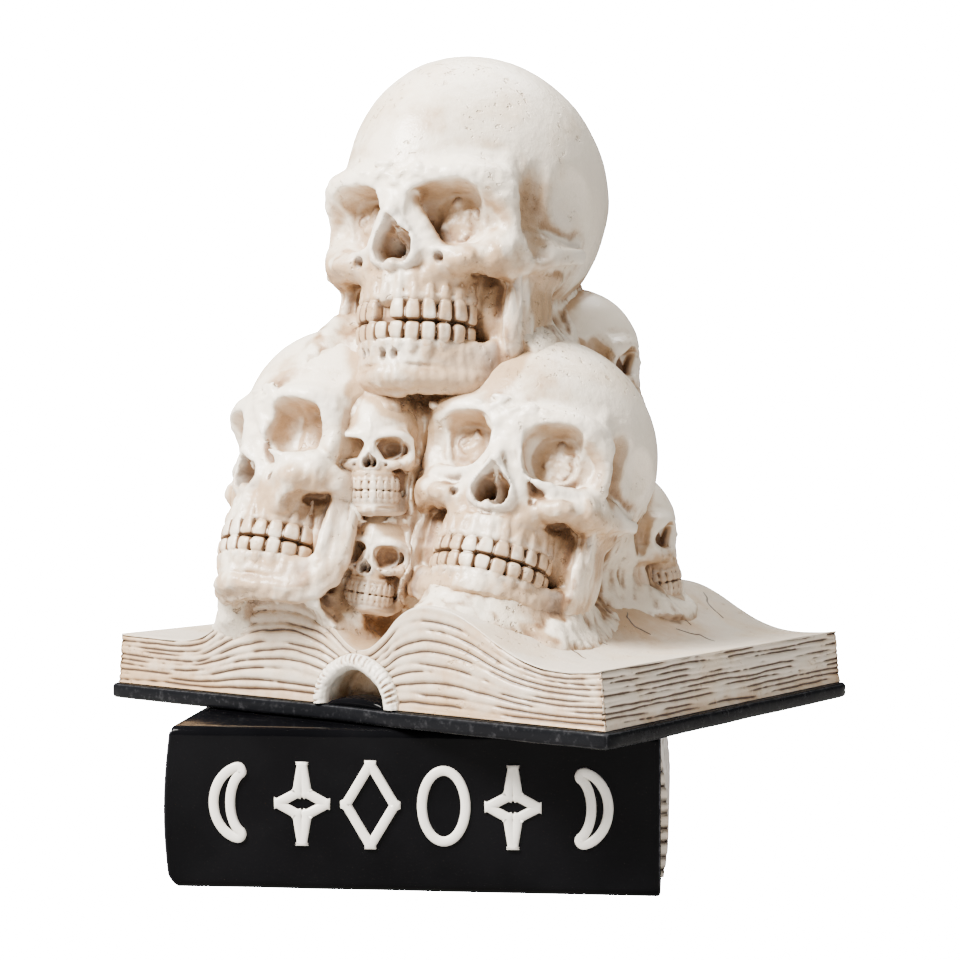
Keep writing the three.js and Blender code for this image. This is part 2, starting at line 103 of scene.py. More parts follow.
# The closed book, cover. A black lacquered board folded round a flat spine, cast with softly rounded
# corners; its left end is swollen a little, and the right end is square.
def mesh_object(name, spots, quads, marks=None):
    mesh = bpy.data.meshes.new(name)
    mesh.vertices.add(len(spots))
    mesh.vertices.foreach_set("co", np.asarray(spots, np.float32).ravel())
    mesh.loops.add(quads.size)
    mesh.loops.foreach_set("vertex_index", quads.astype(np.int32).ravel())
    mesh.polygons.add(len(quads))
    mesh.polygons.foreach_set("loop_start", np.arange(0, quads.size, quads.shape[1], dtype=np.int32))
    mesh.polygons.foreach_set("use_smooth", np.ones(len(quads), bool))
    mesh.update(calc_edges=True)
    mesh.validate()
    for mark, values in (marks or {}).items():
        mesh.attributes.new(mark, "FLOAT", "POINT").data.foreach_set("value", np.asarray(values, np.float32))
    piece = bpy.data.objects.new(name, mesh)
    bpy.context.scene.collection.objects.link(piece)
    return piece


def rulings(half, count, radius):
    inner = np.linspace(-half + radius, half - radius, count)
    rim = half - radius * np.array([0.0, 0.07, 0.2, 0.4, 0.65])
    return np.concatenate([-rim, inner, rim[::-1]])


def box_lattice(xs, ys, zs):
    counts = len(xs), len(ys), len(zs)
    ids = -np.ones(counts, np.int64)
    skin_mask = np.zeros(counts, bool)
    for axis in range(3):
        for end in (0, -1):
            cut = [slice(None)] * 3
            cut[axis] = end
            skin_mask[tuple(cut)] = True
    ids[skin_mask] = np.arange(skin_mask.sum())
    i, j, k = np.nonzero(skin_mask)
    spots = np.stack([xs[i], ys[j], zs[k]], 1)
    quads = []
    for axis in range(3):
        for end in (0, -1):
            sheet = np.take(ids, end if end == 0 else counts[axis] - 1, axis)
            a, b, c, d = sheet[:-1, :-1], sheet[1:, :-1], sheet[1:, 1:], sheet[:-1, 1:]
            face = np.stack([a, b, c, d], -1).reshape(-1, 4)
            outward = (end == -1) != (axis == 1)
            quads.append(face if outward else face[:, ::-1])
    return spots, np.concatenate(quads)


def softened(spots, half, radius):
    half = np.array(half)
    core = np.clip(spots, -(half - radius), half - radius)
    arm = spots - core
    length = np.linalg.norm(arm, axis=1)
    arm = arm / np.maximum(length, 1e-9)[:, None]
    edge = 1.0 - np.abs(arm).max(1)
    return core + arm * radius, np.clip(edge / 0.29, 0.0, 1.0)


def drift(along, span, seed):
    knots = np.random.default_rng(seed).uniform(-1, 1, 64)
    place = np.asarray(along) / span + 32.0
    base = np.floor(place).astype(np.int64)
    t = place - base
    t = t * t * (3 - 2 * t)
    return knots[base % 64] * (1 - t) + knots[(base + 1) % 64] * t


def shader(name):
    material = bpy.data.materials.new(name)
    material.use_nodes = True
    tree = material.node_tree
    return material, tree, tree.nodes["Principled BSDF"]


def node(tree, kind, values=None, **settings):
    made = tree.nodes.new(kind)
    for key, value in settings.items():
        setattr(made, key, value)
    for key, value in (values or {}).items():
        if hasattr(value, "links"):
            tree.links.new(value, made.inputs[key])
        else:
            made.inputs[key].default_value = value
    return made


def ramp(tree, value, low, high, to_low=0.0, to_high=1.0):
    limits = {"Value": value, "From Min": low, "From Max": high, "To Min": to_low, "To Max": to_high}
    return node(tree, "ShaderNodeMapRange", limits, interpolation_type="SMOOTHSTEP").outputs["Result"]


def mixed(tree, share, first, second):
    made = node(tree, "ShaderNodeMix", None, data_type="RGBA")
    for key, value in ((0, share), (6, first), (7, second)):
        if hasattr(value, "links"):
            tree.links.new(value, made.inputs[key])
        else:
            made.inputs[key].default_value = value
    return made.outputs[2]


def math_node(tree, kind, first, second=0.0):
    made = node(tree, "ShaderNodeMath", {0: first, 1: second}, operation=kind)
    return made.outputs[0]


def lacquer(name, scuff, smooth, dull):
    material, tree, surface = shader(name)
    spot = node(tree, "ShaderNodeTexCoord").outputs["Object"]
    edge = node(tree, "ShaderNodeAttribute", None, attribute_name="edge").outputs["Fac"]
    broad = node(tree, "ShaderNodeTexNoise", {"Vector": spot, "Scale": 35.0, "Detail": 4.0}).outputs["Fac"]
    fine = node(tree, "ShaderNodeTexNoise", {"Vector": spot, "Scale": 420.0, "Detail": 5.0,
                                             "Roughness": 0.7}).outputs["Fac"]
    rubbed = ramp(tree, math_node(tree, "ADD", math_node(tree, "MULTIPLY", edge, 0.55), fine), 0.82, 1.02)
    black = mixed(tree, ramp(tree, broad, 0.35, 0.7), (0.0016, 0.0016, 0.002, 1), (0.003, 0.003, 0.0036, 1))
    # Along every rounded edge the black is lifted a little towards grey: a painted highlight. The rubbed grey
    # scuffs laid over it are wear.
    grey = mixed(tree, edge, black, (0.008, 0.0085, 0.01, 1))
    tree.links.new(mixed(tree, math_node(tree, "MULTIPLY", rubbed, scuff), grey, (0.12, 0.12, 0.13, 1)),
                   surface.inputs["Base Color"])
    haze = math_node(tree, "ADD", broad, math_node(tree, "MULTIPLY", fine, 0.3))
    tree.links.new(ramp(tree, haze, 0.4, 1.0, smooth, dull), surface.inputs["Roughness"])
    bump = node(tree, "ShaderNodeBump", {"Height": broad, "Strength": 0.12, "Distance": 0.004})
    tree.links.new(bump.outputs["Normal"], surface.inputs["Normal"])
    surface.inputs["Specular IOR Level"].default_value = 0.04
    return material


book_length, book_front, book_back, book_height, board = 157.0, -80.6, 36.0, 51.9, 5.0
cover_middle, outer_round, inner_round = -13.5, 2.6, 1.0
reach = book_back - book_front
flat_length = 2 * reach + book_height
edge_round = 1.2
near_fold = np.array([-3.0, -2.2, -1.5, -0.8, -0.3, 0.3, 0.8, 1.5, 2.2, 3.0])
spine_half = flat_length / 2 - reach
fold = np.sort(np.concatenate([rulings(flat_length / 2, 150, edge_round), spine_half + near_fold,
                               -spine_half + near_fold]))
spots, quads = box_lattice(rulings(book_length / 2, 100, 1.3), fold, rulings(board / 2, 2, edge_round))
spots, edge = softened(spots, (book_length / 2, flat_length / 2, board / 2), edge_round)


def cover_fold(along, deep):
    half = flat_length / 2

    def leg(t, inset, round_off):
        top = np.clip(t, -half, half)
        upper, lower = top < -half + reach, top > half - reach
        y = np.where(upper, book_back - (top + half), np.where(lower, book_back - (half - top), book_front))
        z = np.where(upper, book_height, np.where(lower, 0.0, half - reach - top))
        y = np.maximum(y, book_front + inset)
        z = np.clip(z, inset, book_height - inset)
        corner_y, corner_z = book_front + inset + round_off, round_off + inset
        dy = np.minimum(y - corner_y, 0.0)
        dz_low, dz_high = np.minimum(z - corner_z, 0.0), np.maximum(z - (book_height - corner_z), 0.0)
        dz = np.where(dz_low < 0, dz_low, dz_high)
        size = np.hypot(dy, dz)
        both = (dy < 0) & (dz != 0)
        scale = np.where(both, round_off / np.maximum(size, 1e-6), 1.0)
        y = np.where(both, corner_y + dy * scale, y)
        z = np.where(both, np.where(dz_low < 0, corner_z, book_height - corner_z) + dz * scale, z)
        return y, z

    outer, inside = leg(along, 0.0, outer_round), leg(along, board, inner_round)
    return outer[0] + (inside[0] - outer[0]) * deep, outer[1] + (inside[1] - outer[1]) * deep


y, z = cover_fold(spots[:, 1], 0.5 - spots[:, 2] / board)
x = spots[:, 0] + cover_middle
left_end = cover_middle - book_length / 2
swollen, swell_out, corner = 14, 2.6, 5
end = np.clip((left_end + swollen - x) / swollen, 0.0, 1.0)
bulge = np.clip(np.sin(np.clip((z + 6) / 62, 0, 1) * math.pi) - 0.1, 0, 1)
x = x - end * swell_out * bulge * (z < book_height - 1.9)
low_corner = np.clip(4.0 - z, 0.0, 4.0) * np.clip((left_end + corner - x) / corner, 0.0, 1.0)
x = x + 0.5 * low_corner
y = y - np.where(y < -70, 0.25 * drift(x, 22.0, 5) + 0.2 * drift(z, 17.0, 6), 0.0)
place = np.stack([x, y, z], 1)
piece = mesh_object("lacquer_closed_cover", place / 1000, quads[:, ::-1], {"edge": edge})
piece.data.materials.append(lacquer("black_lacquer", 0.5, 0.05, 0.12))
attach(piece, "root")
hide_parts("closed_book_cover")


# The closed book, pages. Cream painted resin between the boards, with brown wash in shallow page lines; the
# right end swells past the cover.
# Colours of the cast resin: brown wash and stain, painted shade carried by the Deep mark, and a painted
# highlight on raised edges.
def wash_shade_and_highlight():
    inside = bpy.data.node_groups.new("wash_shade_and_highlight", "ShaderNodeTree")
    for name in ("Hollow", "Deep", "Edge", "Groove"):
        inside.interface.new_socket(name, in_out="INPUT", socket_type="NodeSocketFloat")
    inside.interface.new_socket("Base", in_out="INPUT", socket_type="NodeSocketColor")
    inside.interface.new_socket("Color", in_out="OUTPUT", socket_type="NodeSocketColor")
    inside.interface.new_socket("Roughness", in_out="OUTPUT", socket_type="NodeSocketFloat")
    inside.interface.new_socket("Height", in_out="OUTPUT", socket_type="NodeSocketFloat")
    given = inside.nodes.new("NodeGroupInput").outputs
    out = inside.nodes.new("NodeGroupOutput").inputs
    spot = node(inside, "ShaderNodeTexCoord").outputs["Object"]

    def noise(scale, detail, rough=0.5):
        made = node(inside, "ShaderNodeTexNoise",
                    {"Vector": spot, "Scale": scale, "Detail": detail, "Roughness": rough})
        return made.outputs["Fac"]

    def plus(first, second):
        return math_node(inside, "ADD", first, second)

    def times(first, second):
        return math_node(inside, "MULTIPLY", first, second)

    def spread(value, amount):
        return times(math_node(inside, "SUBTRACT", value, 0.5), amount)

    broad, middle = noise(38.0, 4.0), noise(190.0, 5.0, 0.65)
    fine, pits = noise(700.0, 3.0, 0.7), noise(430.0, 2.0)
    hollow = plus(given["Hollow"], times(given["Deep"], 0.25))
    cloud = plus(spread(broad, 0.7), spread(middle, 0.55))
    patch = ramp(inside, broad, 0.5, 0.66)
    tan = ramp(inside, plus(given["Deep"], cloud), 0.0, 0.7)
    pores = times(ramp(inside, pits, 0.38, 0.3), ramp(inside, broad, 0.5, 0.6))
    wash = ramp(inside, plus(hollow, spread(middle, 0.8)), 0.12, 0.85)
    speck = ramp(inside, plus(hollow, times(fine, 0.9)), 1.1, 1.45)
    line = ramp(inside, plus(given["Groove"], spread(middle, 0.5)), 0.25, 0.8)
    tint = given["Base"]
    # Tan follows the Deep mark: wash in broad hollows, and painted shade. The Edge share is wash wiped off
    # raised edges, and also a painted highlight on them.
    for share, paint in ((times(patch, 0.3), (0.72, 0.55, 0.35, 1)),
                         (times(tan, 0.85), (0.43, 0.265, 0.13, 1)),
                         (times(pores, 0.5), (0.4, 0.27, 0.15, 1)),
                         (times(wash, 0.9), (0.24, 0.13, 0.06, 1)),
                         (times(speck, 0.65), (0.12, 0.062, 0.028, 1)),
                         (times(given["Edge"], 0.65), (0.9, 0.85, 0.76, 1)),
                         (line, (0.085, 0.052, 0.032, 1))):
        tint = mixed(inside, share, tint, paint)
    inside.links.new(tint, out["Color"])
    inside.links.new(ramp(inside, wash, 0.0, 1.0, 0.32, 0.6), out["Roughness"])
    height = plus(times(middle, 0.5), times(fine, 0.18))
    inside.links.new(math_node(inside, "SUBTRACT", height, times(pores, 0.9)), out["Height"])
    return inside


wash_shade_and_highlight_group = wash_shade_and_highlight()


def cast(name, base, relief):
    material, tree, surface = shader(name)
    washed = node(tree, "ShaderNodeGroup", None, node_tree=wash_shade_and_highlight_group)
    for mark in ("hollow", "deep", "edge", "groove"):
        read = node(tree, "ShaderNodeAttribute", None, attribute_name=mark).outputs["Fac"]
        tree.links.new(read, washed.inputs[mark.capitalize()])
    washed.inputs["Base"].default_value = base
    tree.links.new(washed.outputs["Color"], surface.inputs["Base Color"])
    tree.links.new(washed.outputs["Roughness"], surface.inputs["Roughness"])
    bump = node(tree, "ShaderNodeBump", {"Height": washed.outputs["Height"], "Strength": relief,
                                         "Distance": 0.0012})
    tree.links.new(bump.outputs["Normal"], surface.inputs["Normal"])
    surface.inputs["Specular IOR Level"].default_value = 0.45
    return material


page_material = cast("page_resin", (0.66, 0.58, 0.475, 1), 0.5)
half = (77.0, 54.6, 20.7)
block_middle, block_swell, block_lines = (cover_middle, -20.1, 26.0), 4.2, 9
spots, quads = box_lattice(rulings(half[0], 90, 1.0), rulings(half[1], 90, 1.0),
                           np.linspace(-half[2], half[2], 70))
level = (spots[:, 2] + half[2]) / (2 * half[2])
groove, dent = np.zeros(len(spots)), np.zeros(len(spots))
for k in range(block_lines):
    along = np.where(np.abs(np.abs(spots[:, 0]) - half[0]) < 0.01, spots[:, 1], spots[:, 0] + 200)
    line = (k + 0.6) / (block_lines + 0.4) + 0.016 * drift(along, 16.0, 40 + k)
    gap = (level - line) * 2 * half[2]
    strength = np.clip(0.9 + 1.2 * drift(along, 9.0, 60 + k), 0.0, 1.0)
    groove += strength * np.exp(-(gap / 0.42) ** 2)
    dent += 0.5 * np.exp(-(gap / 1.3) ** 2)
groove = np.clip(groove, 0, 1)
outward = np.zeros_like(spots)
for axis in (0, 1):
    outward[:, axis] = np.where(np.abs(np.abs(spots[:, axis]) - half[axis]) < 0.01,
                                np.sign(spots[:, axis]), 0.0)
bow = np.sin(np.clip(0.12 + level * 0.8, 0, 1) * math.pi) ** 0.7 * (1.15 - 0.45 * level)
swell = np.where(outward[:, 0] > 0, block_swell * bow, 0.0)
side = np.abs(outward).sum(1) > 0
place = spots + outward * np.where(side, -0.55 * groove - 0.3 * dent, 0.0)[:, None]
place[:, 0] += swell
place += np.array(block_middle)
page_marks = {"groove": groove * side, "hollow": 0.25 * side * dent}
piece = mesh_object("resin_closed_pages", place / 1000, quads, page_marks)
piece.data.materials.append(page_material)
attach(piece, "root")
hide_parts("closed_book_pages")


# Raised ornaments on the spine. Cream enamel on low relief cast with the cover: moon, star, lozenge, ring,
# star, moon, each about 26 mm tall.
def stroke_line(path, width, rise):
    count = len(path)
    after, before = np.roll(path, -1, 0), np.roll(path, 1, 0)
    run = after - before
    run /= np.linalg.norm(run, axis=1, keepdims=True)
    across = np.stack([-run[:, 1], run[:, 0]], 1)
    a, b = path - before, after - path
    a /= np.maximum(np.linalg.norm(a, axis=1, keepdims=True), 1e-6)
    b /= np.maximum(np.linalg.norm(b, axis=1, keepdims=True), 1e-6)
    miter = 1.0 / np.sqrt(np.clip((1 + (a * b).sum(1)) / 2, 0.3, 1.0))
    profile = [(-1.0, -0.6), (-1.0, 0.35), (-0.9, 0.75), (-0.65, 0.97), (0.0, 1.05), (0.65, 0.97),
               (0.9, 0.75), (1.0, 0.35), (1.0, -0.6)]
    spots = []
    for off, high in profile:
        flat = path + across * (off * width / 2 * miter)[:, None]
        spots.append(np.stack([flat[:, 0], np.full(count, book_front + 0.25 - high * rise), flat[:, 1]], 1))
    spots = np.stack(spots, 1).reshape(-1, 3)
    wide = len(profile)
    quads = []
    for i in range(count):
        p, q = i * wide, ((i + 1) % count) * wide
        for k in range(wide):
            m = (k + 1) % wide
            quads.append((p + k, q + k, q + m, p + m))
    return spots, np.array(quads)


def loop(points, turns=3):
    path = np.array(points, float)
    for _ in range(turns):
        after = np.roll(path, -1, 0)
        path = np.stack([0.75 * path + 0.25 * after, 0.25 * path + 0.75 * after], 1).reshape(-1, 2)
    return path


def star(wide, tall):
    points = [(0, tall), (0.2 * wide, 0.26 * tall), (wide, 0), (0.2 * wide, -0.26 * tall),
              (0, -tall), (-0.2 * wide, -0.26 * tall), (-wide, 0), (-0.2 * wide, 0.26 * tall)]
    return loop([p for p in points for _ in range(2)], 2)


def moon(wide, tall, facing):
    outer = [(wide * (0.35 - 1.35 * math.sin(a)), -tall * math.cos(a))
             for a in np.radians(np.linspace(8, 172, 11))]
    inner = [(wide * (0.5 - 0.75 * math.sin(a)), tall * 0.86 * math.cos(a))
             for a in np.radians(np.linspace(14, 166, 9))]
    path = loop(outer + inner, 2)
    path[:, 0] *= facing
    return path


enamel, tree, surface = shader("cream_enamel")
spot = node(tree, "ShaderNodeTexCoord").outputs["Object"]
cloud = node(tree, "ShaderNodeTexNoise", {"Vector": spot, "Scale": 160.0, "Detail": 3.0}).outputs["Fac"]
tree.links.new(mixed(tree, cloud, (0.74, 0.7, 0.62, 1), (0.84, 0.81, 0.75, 1)), surface.inputs["Base Color"])
surface.inputs["Roughness"].default_value = 0.3
bump = node(tree, "ShaderNodeBump", {"Height": cloud, "Strength": 0.2, "Distance": 0.001})
tree.links.new(bump.outputs["Normal"], surface.inputs["Normal"])
stroke_width, stroke_rise, figure_height = 3.1, 1.25, 27.8
figure_places = (-70.6, -49.0, -27.0, -3.5, 18.5, 41.5)
ring_path = loop([(7.2 * math.sin(a), 11.6 * math.cos(a)) for a in np.radians(np.arange(0, 360, 30))], 2)
lozenge = loop([(0, 13.0)] * 2 + [(7.8, 0)] * 2 + [(0, -13.0)] * 2 + [(-7.8, 0)] * 2, 2)
figures = [moon(7.2, 11.8, 1), star(8.0, 13.0), lozenge, ring_path, star(8.0, 13.0), moon(7.2, 11.8, -1)]
for k, (figure, middle_x) in enumerate(zip(figures, figure_places)):
    spots, quads = stroke_line(figure + np.array([middle_x, figure_height]), stroke_width, stroke_rise)
    piece = mesh_object("enamel_ornament_%d" % (k + 1), spots / 1000, quads)
    piece.data.materials.append(enamel)
    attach(piece, "root")
    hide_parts("closed_book_cover")


# The open book, cover. One black board, 5 mm thick, lying turned across the closed book; its edges are
# rounded and rubbed grey, with a faint painted highlight along them.
open_turn = math.radians(-30.8)
across_axis = np.array([math.cos(open_turn), math.sin(open_turn), 0.0])
depth_axis = np.array([-math.sin(open_turn), math.cos(open_turn), 0.0])


def on_book(spots):
    return spots[:, :1] * across_axis + spots[:, 1:2] * depth_axis + spots[:, 2:] * np.array([0.0, 0.0, 1.0])


half = (105.25, 79.25, 2.6)
board_middle, rubbed_rim, corner_cut = 54.9, 2.0, 5.0
spots, quads = box_lattice(rulings(half[0], 120, 1.6), rulings(half[1], 90, 1.6), rulings(half[2], 2, 1.5))
soft, edge = softened(spots, half, 1.5)
rim = np.minimum(half[0] - np.abs(soft[:, 0]), half[1] - np.abs(soft[:, 1]))
rim = np.clip(1.0 - rim / rubbed_rim, 0.0, 1.0)
soft[:, 2] += board_middle + rim * (0.25 * drift(soft[:, 0] + soft[:, 1], 19.0, 11)) * 0.8
soft[:, 1] += 0.3 * np.where(np.abs(soft[:, 1]) > 70, drift(soft[:, 0], 24.0, 12), 0.0)
flat_corner = np.minimum(np.abs(soft[:, 0]) - (half[0] - corner_cut),
                         np.abs(soft[:, 1]) - (half[1] - corner_cut))
flat_corner = np.clip(flat_corner, 0.0, corner_cut)
soft[:, :2] -= 0.12 * flat_corner[:, None] * np.sign(soft[:, :2])
piece = mesh_object("lacquer_open_cover", on_book(soft) / 1000, quads, {"edge": np.maximum(edge, 0.55 * rim)})
piece.data.materials.append(lacquer("black_lacquer_board", 0.15, 0.2, 0.36))
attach(piece, "root")
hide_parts("open_book_cover")


# The open book, pages. Two swelling blocks of cream resin cast on the cover, scored with wavy page lines that
# carry brown wash; their crests rise 34 mm and meet in a gutter to the right of the middle.
def grain(points, size, seed):
    table = np.random.default_rng(seed).uniform(-1, 1, (32, 32, 32)).astype(np.float32)
    place = np.asarray(points) / size + 100.0
    base = np.floor(place).astype(np.int64)
    t = place - base
    t = t * t * (3 - 2 * t)
    total = 0.0
    for corner in range(8):
        bits = [(corner >> k) & 1 for k in range(3)]
        index = (base + bits) % 32
        share = np.prod([t[:, k] if bits[k] else 1 - t[:, k] for k in range(3)], axis=0)
        total = total + share * table[index[:, 0], index[:, 1], index[:, 2]]
    return total


def smooth_path(stations, count):
    stations = np.array(stations, float)
    ends = np.vstack([2 * stations[0] - stations[1], stations, 2 * stations[-1] - stations[-2]])
    places = np.linspace(0, len(stations) - 1.000001, count)
    path = []
    for place in places:
        i, t = int(place), place - int(place)
        a, b, c, d = ends[i], ends[i + 1], ends[i + 2], ends[i + 3]
        path.append(0.5 * (2 * b + (c - a) * t + (2 * a - 5 * b + 4 * c - d) * t ** 2
                           + (3 * b - a - 3 * c + d) * t ** 3))
    return np.array(path)


page_floor, page_rise, page_front, page_fore, gutter = 57.7, 34.0, 77.2, 103.0, 7.2
page_lines, band_room, band_depth = 10, 17.55, 16.4
page_curves = {
    -1: smooth_path([(0, .515), (.12, .5), (.27, .495), (.36, .54), (.43, .66), (.51, .82), (.6, .95),
                     (.7, 1), (.78, .97), (.85, .88), (.91, .74), (.96, .6), (1, .53)], 200),
    1: smooth_path([(0, .53), (.06, .51), (.16, .5), (.25, .525), (.34, .6), (.42, .71), (.52, .87),
                    (.61, .97), (.7, 1), (.77, .96), (.83, .85), (.88, .7), (.94, .57), (1, .53)], 200),
}


def page_top(across, side):
    fore = page_fore * side
    share = np.clip((across - fore) / (gutter - fore), 0.0, 1.0)
    return page_rise * np.interp(share, page_curves[side][:, 0], page_curves[side][:, 1])


def page_ripple(spots):
    return 0.25 * grain(spots, 17.0, 21) + 0.12 * grain(spots, 5.0, 22) - 0.1


for side, name in ((-1, "open_book_pages_left"), (1, "open_book_pages_right")):
    rows = 84
    us = np.concatenate([[0.0, 0.002, 0.006, 0.012], np.linspace(0.02, 1.0, 130)])
    vs = np.concatenate([[0.0, 0.002, 0.006], np.linspace(0.012, 0.988, 104),
                         [0.994, 0.998, 1.0]])
    ws = np.concatenate([np.linspace(0.0, 0.97, rows), [0.985, 0.995, 1.0]])
    spots, quads = box_lattice(us, vs, ws)
    u, v, w = spots.T
    fore = (page_fore + 0.1) * side
    across = fore + ((gutter + 0.15 * side) - fore) * u
    high = page_top(across, side)
    lean = (1 - u) ** 3 * w
    across_leaned = across - side * 1.6 * lean
    deep = page_front * (2 * v - 1)
    outward = np.zeros((len(spots), 2))
    outward[:, 0] = np.where(u == 0, side, 0.0)
    outward[:, 1] = np.where(v == 0, -1.0, np.where(v == 1, 1.0, 0.0))
    along = np.where(u == 0, deep + 300, across + np.where(v == 1, 600, 0))
    groove, dent = np.zeros(len(spots)), np.zeros(len(spots))
    for k in range(page_lines):
        line = (k + 0.75) / (page_lines + 0.2) + 0.02 * drift(along, 21.0, 100 * side + 300 + k)
        line = line + 0.006 * drift(along, 5.0, 7 + k)
        gap = (w - line) * high
        strength = 0.95 + 1.25 * drift(along, 14.0, 100 * side + 400 + k) + 0.45 * drift(along, 2.2, 500 + k)
        strength = np.clip(strength, 0.0, 1.0)
        groove += strength * np.exp(-(gap / 0.4) ** 2)
        dent += (0.35 + 0.65 * strength) * np.exp(-(gap / 0.95) ** 2)
    groove, dent = np.clip(groove, 0, 1), np.clip(dent, 0, 1)
    face = (np.abs(outward).sum(1) > 0) & (w < 0.985)
    push = np.where(face, -0.5 * groove - 0.55 * dent, 0.0)
    place = np.stack([across_leaned, deep, page_floor + high * w], 1)
    place[:, :2] += outward * push[:, None]
    # Rounded brink between the top and the sides, and a top that is not quite even.
    brink = np.minimum(np.minimum(v, 1 - v) * 2 * page_front, u * 95.0)
    place[:, 2] -= np.where(w == 1, 0.5 * np.exp(-brink / 0.7), 0.0)
    place[:, :2] -= outward * np.where(w > 0.96, 0.35 * (w - 0.96) / 0.04, 0.0)[:, None]
    place[:, 2] += np.where(w == 1, page_ripple(place), 0.0)
    place[:, :2] += outward * (0.3 * grain(place, 13.0, 23) - 0.2)[:, None] * (w > 0.02)[:, None]
    # Room for the headband at each end of the gutter.
    for end in (-1, 1):
        inside = np.hypot(place[:, 0] - gutter, (place[:, 2] - page_floor) * 1.06) < band_room
        wall = end * (page_front - band_depth)
        room = inside & (end * place[:, 1] > end * wall)
        place[:, 1] = np.where(room, wall + 0.03 * (place[:, 1] - wall), place[:, 1])
    place = on_book(place)
    foot = np.clip(1.0 - w * high / 6.0, 0.0, 1.0)
    foot = foot + np.clip(1.0 - np.minimum(u * 95.0, 99.0) / 3.0, 0.0, 1.0) * (u > 0)
    near_gutter = np.clip(1.0 - (gutter - across) * -side / 9.0, 0.0, 1.0)
    near_pile = np.clip(1.25 - np.hypot((place[:, 0] + 4.0) / 74.0, (place[:, 1] + 6.0) / 62.0), 0.0, 0.5)
    # The front and back faces are painted darker than the fore-edge: painted shade on faces turned from the
    # light. The faces are also darker towards the foot and the fore-edge corner, with wash along the page
    # lines.
    face_shade_and_wash = np.where(face, np.where(u == 0, -0.06, 0.3) + 0.3 * foot + 0.2 * dent, 0.0)
    # The top is darker towards the gutter and round the foot of the pile.
    top_darkening = (0.3 * near_gutter + 1.5 * near_pile + 0.08) * (w == 1)
    marks = {"groove": groove * face, "hollow": np.where(face, 0.22 * dent, 0.0),
             "deep": np.maximum(face_shade_and_wash, top_darkening)}
    piece = mesh_object("resin_" + name, place / 1000, quads if side < 0 else quads[:, ::-1], marks)
    piece.data.materials.append(page_material)
    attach(piece, "root")
    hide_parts(name)


# Cracks in the right page. Six thin scars in the cream resin on top of the right block, filled with dark
# wash; each is a flat bead with pointed ends that is laid on the swell of the page.
crack_tracks = (((57, 8), (60, 3), (65, 1), (70, 3)), ((54, 23), (59, 30), (64, 34), (68, 33)),
                ((52, 68), (57, 62), (66, 58)), ((69, 20), (74, 27), (82, 24)),
                ((67, -44), (73, -49), (80, -51)), ((66, -28), (71, -28)))
rails, sides_of_beads = [], []
for number, track in enumerate(crack_tracks):
    steps = np.linspace(0.0, len(track) - 1.0, 16 * len(track))
    walked = np.stack([np.interp(steps, np.arange(len(track)), [stop[k] for stop in track])
                       for k in (0, 1)], 1)
    walked += 0.9 * np.stack([drift(steps * 8.0, 6.0, 600 + number),
                              drift(steps * 8.0, 5.0, 640 + number)], 1)
    ahead = np.gradient(walked, axis=0)
    ahead /= np.linalg.norm(ahead, axis=1)[:, None]
    thin = 0.06 + 0.3 * np.sin(np.linspace(0.02, 0.98, len(steps)) * math.pi) ** 0.6
    for hand, sink in ((-1.0, -0.4), (-0.6, 0.06), (0.6, 0.06), (1.0, -0.4)):
        flat = walked + hand * thin[:, None] * np.stack([ahead[:, 1], -ahead[:, 0]], 1)
        high = page_floor + page_top(flat[:, 0], 1)
        spot = np.stack([flat[:, 0], flat[:, 1], high], 1)
        spot[:, 2] += page_ripple(spot) + sink
        rails.append(spot)
    start = sum(len(rail) for rail in rails[:-4])
    count = len(steps)
    for k in range(4):
        one = start + k * count + np.arange(count - 1)
        two = start + ((k + 1) % 4) * count + np.arange(count - 1)
        sides_of_beads.append(np.stack([one, two, two + 1, one + 1], 1))
    for cap, order in ((0, (3, 2, 1, 0)), (count - 1, (0, 1, 2, 3))):
        sides_of_beads.append(np.array([[start + k * count + cap for k in order]]))
spots = np.concatenate(rails)
piece = mesh_object("cracks_in_page", on_book(spots) / 1000, np.concatenate(sides_of_beads),
                    {"groove": np.full(len(spots), 0.75)})
piece.data.materials.append(page_material)
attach(piece, "root")
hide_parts("open_book_pages_right")


